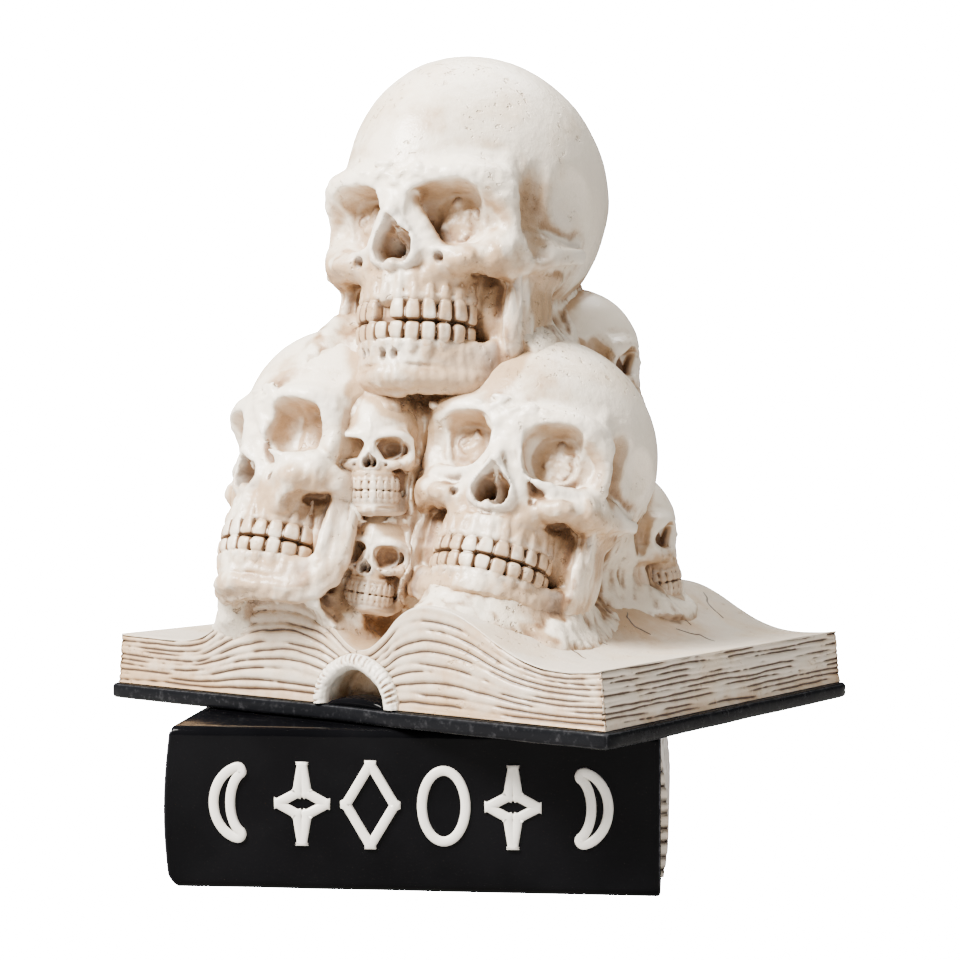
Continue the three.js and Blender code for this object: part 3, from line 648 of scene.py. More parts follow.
# The headbands. A short vault of cream resin closes the gutter at each end: a rolled lip with stitch nicks
# round a hollow, with the black of the cover swelling up inside it.
class Clay:
    def __init__(self, low, high, step, empty=3.0):
        self.low = np.array(low, np.float32)
        self.step = step
        counts = [int(math.ceil((high[i] - low[i]) / step)) + 1 for i in range(3)]
        self.rulers = [self.low[i] + step * np.arange(counts[i], dtype=np.float32) for i in range(3)]
        self.depth = np.full(counts, empty, np.float32)

    def window(self, low, high):
        cut = []
        for i in range(3):
            first = int(math.floor((low[i] - self.low[i]) / self.step))
            last = int(math.ceil((high[i] - self.low[i]) / self.step)) + 1
            cut.append(slice(max(0, first), max(0, min(len(self.rulers[i]), last))))
        x, y, z = (self.rulers[i][cut[i]] for i in range(3))
        return tuple(cut), x[:, None, None], y[None, :, None], z[None, None, :]

    def work(self, form, blend, press, twice, reach=0.08):
        shape, low, high = form
        margin = reach + blend
        for side in (1, -1) if twice else (1,):
            lows, highs = [v - margin for v in low], [v + margin for v in high]
            if side < 0:
                lows[0], highs[0] = -highs[0], -lows[0]
            cut, x, y, z = self.window(lows, highs)
            if self.depth[cut].size == 0:
                continue
            new = shape(x * side, y, z)
            old = self.depth[cut]
            if not press:
                new = -new
            apart = np.abs(old - new)
            melt = np.maximum(blend - apart, 0.0) if blend else 0.0
            bulge = melt * melt * (0.25 / blend) if blend else 0.0
            self.depth[cut] = np.minimum(old, new) - bulge if press else np.maximum(old, new) + bulge

    def press(self, form, blend=0.03, twice=False):
        self.work(form, blend, True, twice)

    def carve(self, form, blend=0.015, twice=False):
        self.work(form, blend, False, twice)

    def at(self, points):
        place = (points - self.low) / self.step
        top = np.array(self.depth.shape) - 1.001
        inside = np.clip(place, 0.0, top)
        base = inside.astype(np.int32)
        part = (inside - base).astype(np.float32)
        a, b, c = base.T
        u, v, w = part.T
        d = self.depth
        low = (d[a, b, c] * (1 - u) + d[a + 1, b, c] * u) * (1 - v) + (
            d[a, b + 1, c] * (1 - u) + d[a + 1, b + 1, c] * u) * v
        high = (d[a, b, c + 1] * (1 - u) + d[a + 1, b, c + 1] * u) * (1 - v) + (
            d[a, b + 1, c + 1] * (1 - u) + d[a + 1, b + 1, c + 1] * u) * v
        outside = np.linalg.norm((place - inside) * self.step, axis=1)
        return low * (1 - w) + high * w + outside

    def slope(self, points):
        steps = np.eye(3, dtype=np.float32) * self.step * 0.7
        return np.stack([self.at(points + s) - self.at(points - s) for s in steps], 1) / (1.4 * self.step)


def roll(stations, count=10, squash=(1.0, 1.0, 1.0)):
    path = smooth_path(stations, count)
    scale = np.array(squash)
    even = float(np.mean(scale))
    spots, radii = path[:, :3] * scale, path[:, 3]

    def shape(x, y, z):
        px, py, pz = x * squash[0], y * squash[1], z * squash[2]
        best = None
        for i in range(len(spots) - 1):
            a, b = spots[i], spots[i + 1]
            ab = b - a
            along = (px - a[0]) * ab[0] + (py - a[1]) * ab[1] + (pz - a[2]) * ab[2]
            t = np.clip(along / (ab @ ab), 0.0, 1.0)
            gap = np.sqrt((px - a[0] - t * ab[0]) ** 2 + (py - a[1] - t * ab[1]) ** 2
                          + (pz - a[2] - t * ab[2]) ** 2) - (radii[i] + (radii[i + 1] - radii[i]) * t)
            best = gap if best is None else np.minimum(best, gap)
        return best / even

    reach = [radii.max() / s for s in squash]
    low = [path[:, i].min() - reach[i] for i in range(3)]
    high = [path[:, i].max() + reach[i] for i in range(3)]
    return shape, low, high


def skin(clay):
    volume = openvdb.FloatGrid(3.0)
    volume.copyFromArray(clay.depth)
    spots, quads = volume.convertToQuads(0.0)
    spots = clay.low + spots * clay.step
    for _ in range(3):
        slope = clay.slope(spots)
        steep = np.maximum((slope ** 2).sum(1), 0.05)
        move = (clay.at(spots) / steep)[:, None] * slope
        size = np.linalg.norm(move, axis=1, keepdims=True)
        spots = spots - move * np.minimum(1.0, 0.6 * clay.step / np.maximum(size, 1e-9))
    quads = quads.astype(np.int64)
    names = np.arange(len(spots))
    while True:
        least = names.copy()
        lowest = names[quads].min(1)
        for k in range(4):
            np.minimum.at(least, quads[:, k], lowest)
        least = least[least]
        if (least == names).all():
            break
        names = least
    kinds, counts = np.unique(names, return_counts=True)
    keep = names == kinds[counts.argmax()]
    renumber = np.cumsum(keep) - 1
    quads = renumber[quads[keep[quads[:, 0]]]]
    return spots[keep].astype(np.float32), quads


def hollows(clay, spots, normals, reaches, fit=True):
    here = clay.slope(spots)
    steep = np.clip(np.linalg.norm(here, axis=1), 0.3, 1.6) if fit else 1.0
    deep, proud = 0.0, 0.0
    for r in reaches:
        deep = deep + np.clip(1.0 - clay.at(spots + normals * r) / (steep * r), 0.0, 1.0) / len(reaches)
        proud = proud + np.clip(1.0 + clay.at(spots - normals * r) / (steep * r), 0.0, 1.0) / len(reaches)
    return deep, proud


def outward_of(clay, spots):
    slope = clay.slope(spots)
    return slope / np.maximum(np.linalg.norm(slope, axis=1, keepdims=True), 1e-6)


band_low, band_high = (-20.0, -2.5, -0.6), (20.0, 18.0, 19.5)
band_outer, band_inner, band_end, lip_middle, lip_thick = 17.2, 12.9, 15.9, 14.7, 2.55
whole = (band_low, band_high)
lip = Clay(*whole, 0.34)


def round_gutter(x, z):
    return np.hypot(x, z * 1.04)


def vault(x, y, z):
    around = round_gutter(x, z)
    return np.maximum(np.maximum(around - band_outer, band_inner - around), np.maximum(0.6 - y, y - band_end))


def vault_back(x, y, z):
    return np.maximum(round_gutter(x, z) - 15.0, np.maximum(12.6 - y, y - band_end))


def rolled(x, y, z):
    wave = 0.25 * np.sin(np.arctan2(z, x) * 5)
    return np.hypot(round_gutter(x, z) - lip_middle - wave, (y - 1.2) * 0.95) - lip_thick


def over_floor(x, y, z):
    return z + 0.0 * x + 0.0 * y


lip.work((vault, *whole), 0.0, True, False, 40.0)
lip.work((vault_back, *whole), 1.5, True, False, 40.0)
lip.work((rolled, *whole), 1.2, True, False, 40.0)
chance = np.random.default_rng(4)
tilt = 0.05
for k in range(25):
    angle = math.radians(6 + 7.0 * k + chance.uniform(-1.5, 1.5))
    inner, outer = 14.2 + chance.uniform(-0.8, 0.8), 18.2
    nick = roll([(inner * math.cos(angle), -1.5, inner * math.sin(angle) / 1.04, 0.32),
                 (16.6 * math.cos(angle + tilt), -0.7, 16.6 * math.sin(angle + tilt) / 1.04, 0.42),
                 (outer * math.cos(angle + tilt), 1.8, outer * math.sin(angle + tilt) / 1.04, 0.42)], 4)
    lip.work(nick, 0.25, False, False, 1.0)
lip.work((over_floor, *whole), 0.0, False, False, 40.0)
spots, quads = skin(lip)
normals = outward_of(lip, spots)
deep, proud = hollows(lip, spots, normals, (0.7, 1.5))
inside = np.clip((spots[:, 1] - 2.5) / 5.0, 0.0, 1.0) * (np.hypot(spots[:, 0], spots[:, 2]) < 14)
spots = spots + normals * (0.14 * grain(spots, 2.6, 31) + 0.1 * grain(spots, 1.2, 32))[:, None]
mound_half, mound_length, mound_rise, mound_foot = 11.8, 11.5, 3.4, 57.1
grid, mound_quads = box_lattice(np.linspace(-1, 1, 40), np.linspace(0, 1, 12), np.array([0.0, 1.0]))
grid_x, grid_y, level = grid.T
mound_high = mound_rise * np.sqrt(np.clip(1 - grid_x ** 2, 0, 1)) * (0.82 + 0.18 * np.sin(grid_y * 3))
mound_high = mound_foot + level * (mound_high + 0.2)
lip_material = cast("headband_resin", (0.8, 0.74, 0.64, 1), 0.5)
for end, name in ((-1, "headband_front"), (1, "headband_back")):
    place = np.stack([gutter + spots[:, 0] * -end, end * (78.4 - spots[:, 1]),
                      page_floor + 0.05 + spots[:, 2]], 1)
    piece = mesh_object("resin_" + name, on_book(place) / 1000, quads,
                        {"hollow": np.clip(deep * 1.3, 0, 1), "deep": 0.55 * inside, "edge": 0.5 * proud})
    piece.data.materials.append(lip_material)
    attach(piece, "root")
    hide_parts(name)
    place = np.stack([gutter + mound_half * grid_x, end * (77.4 - mound_length * grid_y), mound_high], 1)
    mound = mesh_object("lacquer_gutter_" + name, on_book(place) / 1000,
                        mound_quads if end < 0 else mound_quads[:, ::-1])
    mound.data.materials.append(bpy.data.materials["black_lacquer"])
    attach(mound, "root")
    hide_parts("open_book_cover")


# The skulls. Each is sculpted in clay before it is cast: masses are pressed on, sockets are carved out, and
# the skin is taken off as one closed mesh. Lengths are in breadths of the braincase; the face looks to -Y.
def turned(yaw, pitch=0.0, lean=0.0):
    a, b, c = math.radians(yaw), math.radians(pitch), math.radians(lean)
    about_z = np.array([[math.cos(a), -math.sin(a), 0], [math.sin(a), math.cos(a), 0], [0, 0, 1]])
    about_x = np.array([[1, 0, 0], [0, math.cos(b), -math.sin(b)], [0, math.sin(b), math.cos(b)]])
    about_y = np.array([[math.cos(c), 0, math.sin(c)], [0, 1, 0], [-math.sin(c), 0, math.cos(c)]])
    return about_z @ about_x @ about_y


def ball(middle, radii, turn=None):
    def shape(x, y, z):
        px, py, pz = x - middle[0], y - middle[1], z - middle[2]
        if turn is not None:
            px, py, pz = (t[0] * px + t[1] * py + t[2] * pz for t in turn)
        near = np.sqrt((px / radii[0]) ** 2 + (py / radii[1]) ** 2 + (pz / radii[2]) ** 2)
        far = np.sqrt((px / radii[0] ** 2) ** 2 + (py / radii[1] ** 2) ** 2 + (pz / radii[2] ** 2) ** 2)
        return near * (near - 1.0) / np.maximum(far, 1e-5)

    reach = [max(radii)] * 3 if turn is not None else radii
    return shape, [m - r for m, r in zip(middle, reach)], [m + r for m, r in zip(middle, reach)]


def lump(middle, half, power, turn=None, taper=0.0):
    def shape(x, y, z):
        px, py, pz = x - middle[0], y - middle[1], z - middle[2]
        if turn is not None:
            px, py, pz = (t[0] * px + t[1] * py + t[2] * pz for t in turn)
        if taper:
            narrow = 1.0 - taper * np.clip(pz / half[2], -1.0, 1.0)
            px, py = px / narrow, py / (0.5 + 0.5 * narrow)
        reach = (np.abs(px / half[0]) ** power + np.abs(py / half[1]) ** power
                 + np.abs(pz / half[2]) ** power) ** (1.0 / power)
        return (reach - 1.0) * min(half)

    reach = max(half) * 1.2
    return shape, [m - reach for m in middle], [m + reach for m in middle]


def stack(levels, power):
    levels = np.array(sorted(levels), float)

    def shape(x, y, z):
        wide = np.interp(z, levels[:, 0], levels[:, 1])
        front = np.interp(z, levels[:, 0], levels[:, 2])
        back = np.interp(z, levels[:, 0], levels[:, 3])
        middle, half = (front + back) / 2, (back - front) / 2
        reach = (np.abs(x / wide) ** power + np.abs((y - middle) / half) ** power) ** (1.0 / power)
        across = (reach - 1.0) * np.minimum(wide, half)
        return np.maximum(across, np.maximum(levels[0, 0] - z, z - levels[-1, 0])).astype(np.float32)

    wide = levels[:, 1].max()
    return shape, [-wide, levels[:, 2].min(), levels[0, 0]], [wide, levels[:, 3].max(), levels[-1, 0]]


def band(stations, count=10, power=2.6):
    path = smooth_path(stations, count)

    def shape(x, y, z):
        best = None
        for a, b in zip(path[:-1], path[1:]):
            run = b[:2] - a[:2]
            t = np.clip(((x - a[0]) * run[0] + (y - a[1]) * run[1]) / (run @ run), 0.0, 1.0)
            flat = np.sqrt((x - a[0] - t * run[0]) ** 2 + (y - a[1] - t * run[1]) ** 2)
            middle, high, thick = (a[k] + (b[k] - a[k]) * t for k in (2, 3, 4))
            reach = ((flat / thick) ** power + (np.abs(z - middle) / high) ** power) ** (1.0 / power)
            gap = (reach - 1.0) * np.minimum(thick, high)
            best = gap if best is None else np.minimum(best, gap)
        return best

    high, thick = path[:, 3].max(), path[:, 4].max()
    low = [path[:, 0].min() - thick, path[:, 1].min() - thick, path[:, 2].min() - high]
    top = [path[:, 0].max() + thick, path[:, 1].max() + thick, path[:, 2].max() + high]
    return shape, low, top


def sculpt(step, dome, eyes, nose, teeth, jaw, seed=1, plain=False, rings=False, bare=0):
    chance = np.random.default_rng(seed)
    apex, base, nose_x, push = nose
    top_gum, bite, low_gum, tooth, arc_x, gaps, holes = teeth
    chin, angle_z, rear, branch = jaw
    clay = Clay((-0.58, -0.74, chin - 0.08), (0.58, 0.67, dome + 0.06), step)

    def braincase(x, y, z):
        forward = np.clip(-y / 0.61, 0.0, 1.1)
        low = np.clip(-z / dome, 0.0, 1.1)
        wide = 1.0 - 0.2 * forward ** 2 - 0.12 * low
        px = x / wide
        near = np.sqrt((px / 0.5) ** 2 + (y / 0.61) ** 2 + (z / dome) ** 2)
        far = np.sqrt((px / 0.25) ** 2 + (y / 0.3721) ** 2 + (z / dome ** 2) ** 2)
        return near * (near - 1.0) / np.maximum(far, 1e-4)

    clay.press((braincase, [-0.5, -0.62, -dome], [0.5, 0.62, dome]), 0.0)
    # Flattened temples, with a line where the forehead turns.
    clay.carve(ball((0.635, -0.24, -0.1), (0.2, 0.31, 0.29), turned(-8)), 0.012, True)
    # Core of the face, upper jaw, lower jaw and throat.
    clay.press(stack([(-0.40, 0.2, -0.5, -0.02), (-0.33, 0.3, -0.5, 0.0), (-0.2, 0.37, -0.5, 0.0),
                      (-0.05, 0.36, -0.53, 0.0), (0.02, 0.32, -0.53, 0.0)], 2.5), 0.05)
    clay.press(stack([(top_gum - 0.02, arc_x - 0.025, -0.57, -0.14),
                      (top_gum + 0.06, arc_x - 0.015, -0.568, -0.12),
                      (base - 0.04, 0.225, -0.575, -0.1), (base + 0.06, 0.17, -0.575, -0.1),
                      (apex - 0.02, 0.09, -0.57, -0.1)], 2.15), 0.03)
    clay.press(ball((0.0, -0.1, -0.5), (0.3, 0.24, 0.26)), 0.05)
    clay.press(ball((0.0, -0.27, bite), (arc_x - 0.03, 0.24, 0.16)), 0.03)
    # Brows, the outer walls of the sockets, cheekbones and arches.
    for s in (1, -1):
        x, z, wide, high, _ = eyes[s]
        top, out = z + high, x + wide
        # Behind the brow the forehead is filled out.
        clay.press(ball((s * 0.2, -0.4, top + 0.02), (0.19, 0.16, 0.08), turned(26 * s)), 0.07)
        clay.press(roll([(s * 0.05, -0.565, top - 0.01, 0.034),
                         (s * (x - 0.3 * wide), -0.568, top + 0.018, 0.036),
                         (s * (x + 0.45 * wide), -0.528, top + 0.012, 0.038),
                         (s * out, -0.455, top - 0.03, 0.038),
                         (s * (out + 0.028), -0.405, z, 0.034),
                         (s * (out + 0.022), -0.405, z - 0.7 * high, 0.038)], 12), 0.06)
        clay.press(roll([(s * (out + 0.015), -0.43, top - 0.03, 0.03),
                         (s * 0.345, -0.405, top + 0.06, 0.013), (s * 0.335, -0.36, top + 0.12, 0.008)],
                        6), 0.05)
        clay.press(ball((s * (out - 0.03), -0.425, -0.325), (0.085, 0.07 if s != bare else 0.05, 0.065),
                        turned(34 * s, 0, 10 * s)), 0.06)
        if s == bare:
            clay.press(ball((s * 0.19, -0.5, -0.37), (0.1, 0.058, 0.13)), 0.05)
            clay.press(ball((s * 0.23, -0.49, -0.29), (0.085, 0.045, 0.055)), 0.03)
            clay.press(ball((s * 0.3, -0.45, -0.285), (0.07, 0.045, 0.06)), 0.03)
        if s == -bare:
            clay.press(ball((s * 0.13, -0.46, -0.35), (0.08, 0.06, 0.05)), 0.05)
        else:
            clay.press(ball((s * (x - 0.01), -0.49, -0.35), (0.12, 0.065, 0.05), turned(18 * s, 0, 6 * s)),
                       0.05)
        clay.press(roll([(s * (x + 0.7 * wide), -0.46, z - high - 0.01, 0.024),
                         (s * x, -0.522, z - high - 0.025, 0.026),
                         (s * (x - 0.65 * wide), -0.56, z - 0.85 * high, 0.024),
                         (s * (x - 1.05 * wide), -0.58, z - 0.05, 0.022),
                         (s * 0.05, -0.585, z + 0.6 * high, 0.03)], 9), 0.035)
        # One cheekbone of the turned skull has no arch: it dies into the resin beside it.
        arch = [(s * 0.415, -0.34, -0.318, 0.043, 0.03), (s * 0.45, -0.24, -0.3, 0.036, 0.024),
                (s * 0.468, -0.12, -0.275, 0.032, 0.022), (s * 0.462, 0.0, -0.25, 0.03, 0.024)]
        if s == bare:
            arch = [(s * 0.37, -0.35, -0.33, 0.05, 0.03), (s * 0.35, -0.26, -0.33, 0.05, 0.03)]
        clay.press(band([(s * (out - 0.02), -0.42, -0.32, 0.068, 0.035)] + arch, 9), 0.045)
        if s != bare:
            clay.press(ball((s * 0.35, -0.2, -0.33), (0.085, 0.24, 0.075)), 0.03)
            clay.press(ball((s * 0.39, -0.17, -0.26), (0.065, 0.22, 0.06)), 0.03)
        # The temple is hollowed right behind the pillar, which leaves it a narrow ridge.
        clay.carve(ball((s * 0.5, -0.305, z + 0.07), (0.122, 0.1, 0.24), turned(-12 * s)), 0.015)
    # Lower jaw: a tall bar, the thick rolled chin edge and the broad branches up to the ears.
    body = 0.5 * (chin + low_gum)
    tall = 0.5 * (low_gum - chin) + 0.015
    clay.press(band([(0.36, rear + 0.77 * branch, angle_z + 0.1, 0.11, 0.035),
                     (0.35, 0.5 * rear - 0.12, 0.5 * (angle_z + body) + 0.04, tall + 0.01, 0.04),
                     (0.285, -0.345, body, tall, 0.036), (0.185, -0.45, body - 0.005, tall, 0.036),
                     (0.085, -0.5, body - 0.005, tall, 0.036),
                     (0.0, -0.51, body - 0.005, tall, 0.036)], 10), 0.02, True)
    clay.press(roll([(0.36, rear + 0.54 * branch, angle_z, 0.028),
                     (0.325, 0.5 * rear - 0.18, 0.4 * angle_z + 0.6 * chin + 0.02, 0.032),
                     (0.235, -0.42, chin + 0.035, 0.037), (0.115, -0.515, chin + 0.04, 0.042),
                     (0.0, -0.54, chin + 0.042, 0.044)], 11, (1.0, 1.0, 1.1)), 0.02, True)
    clay.press(ball((0.0, -0.57, chin + 0.045), (0.08, 0.03, 0.03)), 0.04)
    clay.press(ball((0.31 if not bare else 0.28, rear + 0.04, -0.5),
                    (0.08 if not bare else 0.06, branch + 0.04, 0.2)), 0.04, True)

    arc_y, arc_middle = 0.235, -0.355

    def arc(angle, out=0.0):
        return math.sin(angle) * (arc_x + out), arc_middle - math.cos(angle) * (arc_y + out)

    def gum(z_low, z_high, out):
        def shape(x, y, z):
            reach = np.sqrt((x / (arc_x + out)) ** 2 + (np.minimum(y - arc_middle, 0.0) / (arc_y + out)) ** 2)
            across = (reach - 1.0) * arc_x
            return np.maximum(np.maximum(across, y - arc_middle - 0.12), np.maximum(z_low - z, z - z_high))
        low = [-arc_x - out, arc_middle - arc_y - out, z_low]
        return shape, low, [arc_x + out, arc_middle + 0.12, z_high]

    clay.press(gum(top_gum, top_gum + 0.09, -0.002), 0.03)
    clay.press(gum(low_gum - 0.08, low_gum, -0.002), 0.03)
    clay.press(gum(low_gum - 0.02, top_gum + 0.02, -0.045 if not plain else -0.03), 0.006)
    fine = clay
    if not plain:
        fine = Clay((-arc_x - 0.06, arc_middle - arc_y - 0.06, low_gum - 0.1),
                    (arc_x + 0.06, arc_middle + 0.04, top_gum + 0.12), step * 0.5)
        fine.press(gum(low_gum - 0.075, top_gum + 0.075, -0.027), 0.0)
        fine.press(gum(top_gum, top_gum + 0.075, -0.012), 0.02)
        fine.press(gum(low_gum - 0.075, low_gum, -0.012), 0.02)
    bodies = {clay, fine}

    # Sockets of the eyes: a bowl with a round pocket sunk in its bottom.
    for side in (1, -1):
        x, z, wide, high, lean = eyes[side]
        rock = turned(0, 0, lean * side).T @ turned(20 * side).T
        clay.carve(lump((side * x, -0.62, z), (wide, 0.215, high), 3.1, rock), 0.004)
        clay.carve(lump((side * (x + 0.004), -0.62, z), (wide - 0.012, 0.13, high - 0.012), 4.0, rock), 0.006)
        if side == bare:
            clay.carve(lump((side * (x + 0.03), -0.5, z + 0.008), (0.08, 0.11, 0.102), 5.0, rock), 0.008)
        if rings:
            radius = 0.93 * min(wide, 1.1 * high)
            plug_x, plug_z = side * (x + 0.01), z - 0.01
            clay.press(lump((plug_x, -0.38, plug_z), (radius, 0.062, radius), 2.8, turned(10 * side).T),
                       0.016)
            for _ in range(13):
                far, round_at = chance.uniform(0.0, 0.8) * radius, chance.uniform(0, 2 * math.pi)
                clay.press(ball((plug_x - 0.028 * side + 0.8 * far * math.cos(round_at), -0.437,
                                 plug_z + far * math.sin(round_at)),
                                (chance.uniform(0.015, 0.03), 0.016, chance.uniform(0.007, 0.016)),
                                turned(0, 0, 90 * chance.uniform(-1, 1))), 0.006)
        else:
            clay.carve(ball((side * x, -0.5, z), (0.75 * wide, 0.15, 0.75 * high)), 0.01)
    # Between the brows, and the bridge of the nose with its flanks and the rim of its opening.
    tall_nose = apex - base
    top_brow = 0.5 * (eyes[1][1] + eyes[1][3] + eyes[-1][1] + eyes[-1][3])
    clay.press(ball((0.0, -0.555, -0.015), (0.1, 0.045, 0.055)), 0.04)
    clay.press(roll([(0.0, -0.53, -0.03, 0.045), (0.5 * nose_x, -0.575, 0.55 * apex - 0.01, 0.035),
                     (nose_x, -0.632 - push, apex, 0.021)], 5), 0.035)
    if not plain:
        for _ in range(15):
            rough_x = chance.uniform(-0.16 if not bare else 0.0, 0.17)
            clay.press(ball((rough_x, -0.612 + 0.5 * rough_x ** 2,
                             top_brow + 0.035 + chance.uniform(-0.045, 0.03) + 0.1 * abs(rough_x)),
                            (chance.uniform(0.018, 0.045), 0.016, chance.uniform(0.007, 0.013)),
                            turned(0, 0, 38 * chance.uniform(-1, 1))), 0.008)
    else:
        clay.press(roll([(0.0, -0.57, 0.16, 0.008), (0.01, -0.595, 0.06, 0.022),
                         (0.0, -0.59, -0.04, 0.035)], 7), 0.012)
    clay.press(ball((nose_x, -0.535, 0.45 * apex + 0.55 * base), (0.115, 0.06, 0.115)), 0.04)
    for side in (1, -1):
        clay.press(roll([(nose_x, -0.628 - push, apex, 0.018),
                         (nose_x + 0.042 * side, -0.606 - push, base + 0.62 * tall_nose, 0.024),
                         (nose_x + 0.078 * side, -0.578 - 0.5 * push, base + 0.28 * tall_nose, 0.028),
                         (nose_x + 0.072 * side, -0.58 - 0.5 * push, base + 0.01, 0.024),
                         (nose_x, -0.595 - push, base - 0.012, 0.02)], 8), 0.016)
        clay.press(roll([(nose_x + 0.03 * side, -0.56, 0.7 * apex, 0.03),
                         (nose_x + 0.1 * side, -0.52, 0.5 * (apex + base), 0.04),
                         (nose_x + 0.14 * side, -0.5, base - 0.01, 0.045)], 5), 0.035)
    for side in (1, -1):
        clay.carve(ball((nose_x + 0.036 * side, -0.63, base + 0.31 * tall_nose),
                        (0.047, 0.19, 0.37 * tall_nose)), 0.003)
        clay.carve(roll([(nose_x + 0.002 * side, -0.64, apex - 0.02, 0.01),
                         (nose_x + 0.026 * side, -0.63, base + 0.5 * tall_nose, 0.036)], 3,
                        (1.0, 0.3, 1.0)), 0.003)
        clay.carve(ball((nose_x + 0.03 * side, -0.5, base + 0.25 * tall_nose), (0.02, 0.12, 0.03)), 0.006)
    # Cheeks hollowed under the arches, and the small hole below each eye.
    clay.carve(ball((0.3, -0.4, -0.47), (0.055, 0.14, 0.09), turned(16)), 0.015, True)
    if bare:
        clay.press(lump((0.338, rear - 0.01, -0.46), (0.026, branch, 0.2), 2.6, turned(0, 10)), 0.03, True)
    else:
        clay.press(lump((0.362, rear - 0.03, -0.47), (0.034, branch, 0.24), 2.6, turned(0, 12)), 0.03, True)
    clay.press(lump((0.2, -0.19, -0.5), (0.165 if not bare else 0.08, 0.165, 0.16), 2.6), 0.03, True)
    if not plain:
        for k in range(3 if not bare else 0):
            clay.press(roll([(0.385, -0.36 + 0.06 * k, -0.35, 0.018),
                             (0.393 - 0.008 * k, -0.335 + 0.055 * k, -0.47, 0.01),
                             (0.372, -0.35 + 0.05 * k, -0.61, 0.018)], 7), 0.008)
    clay.carve(ball((0.225, -0.6, -0.41), (0.045, 0.045, 0.05)), 0.03, True)
    clay.carve(ball((0.17, -0.57, -0.34), (0.018, 0.05, 0.022)), 0.01, True)

    # Teeth. Every crown is pressed on by itself, with its root showing as a ridge above or below it.
    for row in ("upper", "lower"):
        for side in (1, -1):
            walked = 0.0
            for place in range(8):
                width = tooth * (1.06 if place == 0 else 0.97 + 0.05 * chance.uniform(-1, 1) + 0.02 * place)
                angle = (walked + width / 2) / (arc_x + 0.012)
                walked += width
                if angle > 1.6:
                    break
                wobble = chance.uniform(-1, 1, 6)
                px, py = arc(angle * side, -0.008 + 0.003 * wobble[5])
                facing = turned(math.degrees(angle) * side).T
                gone = (row, side * (place + 1)) in gaps
                if row == "upper":
                    z_low, z_high = bite + 0.001 + 0.004 * wobble[0], top_gum + 0.006 + 0.006 * wobble[4]
                    taper = 0.14
                else:
                    z_low, z_high = low_gum - 0.004 + 0.005 * wobble[4], bite - 0.001 + 0.004 * wobble[0]
                    taper = -0.06
                if not gone:
                    fine.press(lump((px, py, (z_low + z_high) / 2),
                                    (width * (0.462 + 0.015 * wobble[1]), 0.03, (z_high - z_low) / 2 - 0.001),
                                    3.4, turned(0, 0, 5 * wobble[2]) @ facing, taper), 0.004)
                rx, ry = arc(angle * side, -0.011)
                sign = 1 if row == "upper" else -1
                near_z = (top_gum if row == "upper" else low_gum) + 0.012 * sign
                root = 0.11 if row == "upper" else 0.065
                if plain or (bare and place > 5):
                    root = 0.04
                far_z = near_z + sign * (root + 0.025 * wobble[3])
                for body in bodies:
                    body.press(roll([(rx, ry, near_z, 0.026),
                                     (rx * 0.985, ry + 0.004, (near_z + far_z) / 2, 0.022),
                                     (rx * 0.95, ry + 0.014, far_z, 0.014)], 4), 0.004)
    for row, level in (("upper", top_gum + 0.012), ("lower", low_gum - 0.008)):
        line = []
        for k in range(-9, 10):
            gx, gy = arc(k * 0.165, -0.001)
            line.append((gx, gy, level + 0.006 * math.cos(k * 2.6 + seed), 0.009))
        for body in bodies:
            body.press(roll(line, 30), 0.01)
    for sx, sz, r in holes:
        hx, hy = arc(math.asin(max(-1.0, min(1.0, sx / arc_x))), 0.0)
        for body in bodies:
            body.carve(ball((hx, hy, sz), (r, 0.035, r * 1.35)), 0.006)
    clay.nose = fine.nose = nose_x, apex, base
    clay.eyes = [(side * eyes[side][0], eyes[side][1], eyes[side][2], eyes[side][3]) for side in (1, -1)]
    if fine is not clay:
        fine.eyes = []
    return clay, fine


skull_places = {
    "skull_top": ((-1.0, -5.0, 227.8), (-23.5, -6.5, -1.0), 90.0),
    "skull_right": ((24.0, -22.0, 137.4), (-11.0, -18.0, 8.0), 78.0),
    "skull_left": ((-36.6, -14.1, 142.0), (-50.5, -17.5, -9.0), 79.0),
    "skull_small_upper": ((-29.1, -40.9, 145.0), (-4.0, -4.0, 0.0), 31.0),
    "skull_small_lower": ((-27.3, -42.2, 109.7), (-10.0, -4.0, 8.0), 27.0),
    "skull_side_upper": ((28.8, 11.9, 175.4), (88.0, -8.0, 0.0), 44.0),
    "skull_side_lower": ((44.4, 7.9, 113.9), (88.0, -8.0, 0.0), 40.0),
    "skull_back": ((-6.0, 27.3, 136.0), (165.0, -14.0, 4.0), 72.0),
}
wide_eyes = {1: (0.215, -0.17, 0.145, 0.115, -4.0), -1: (0.21, -0.165, 0.14, 0.115, -4.0)}
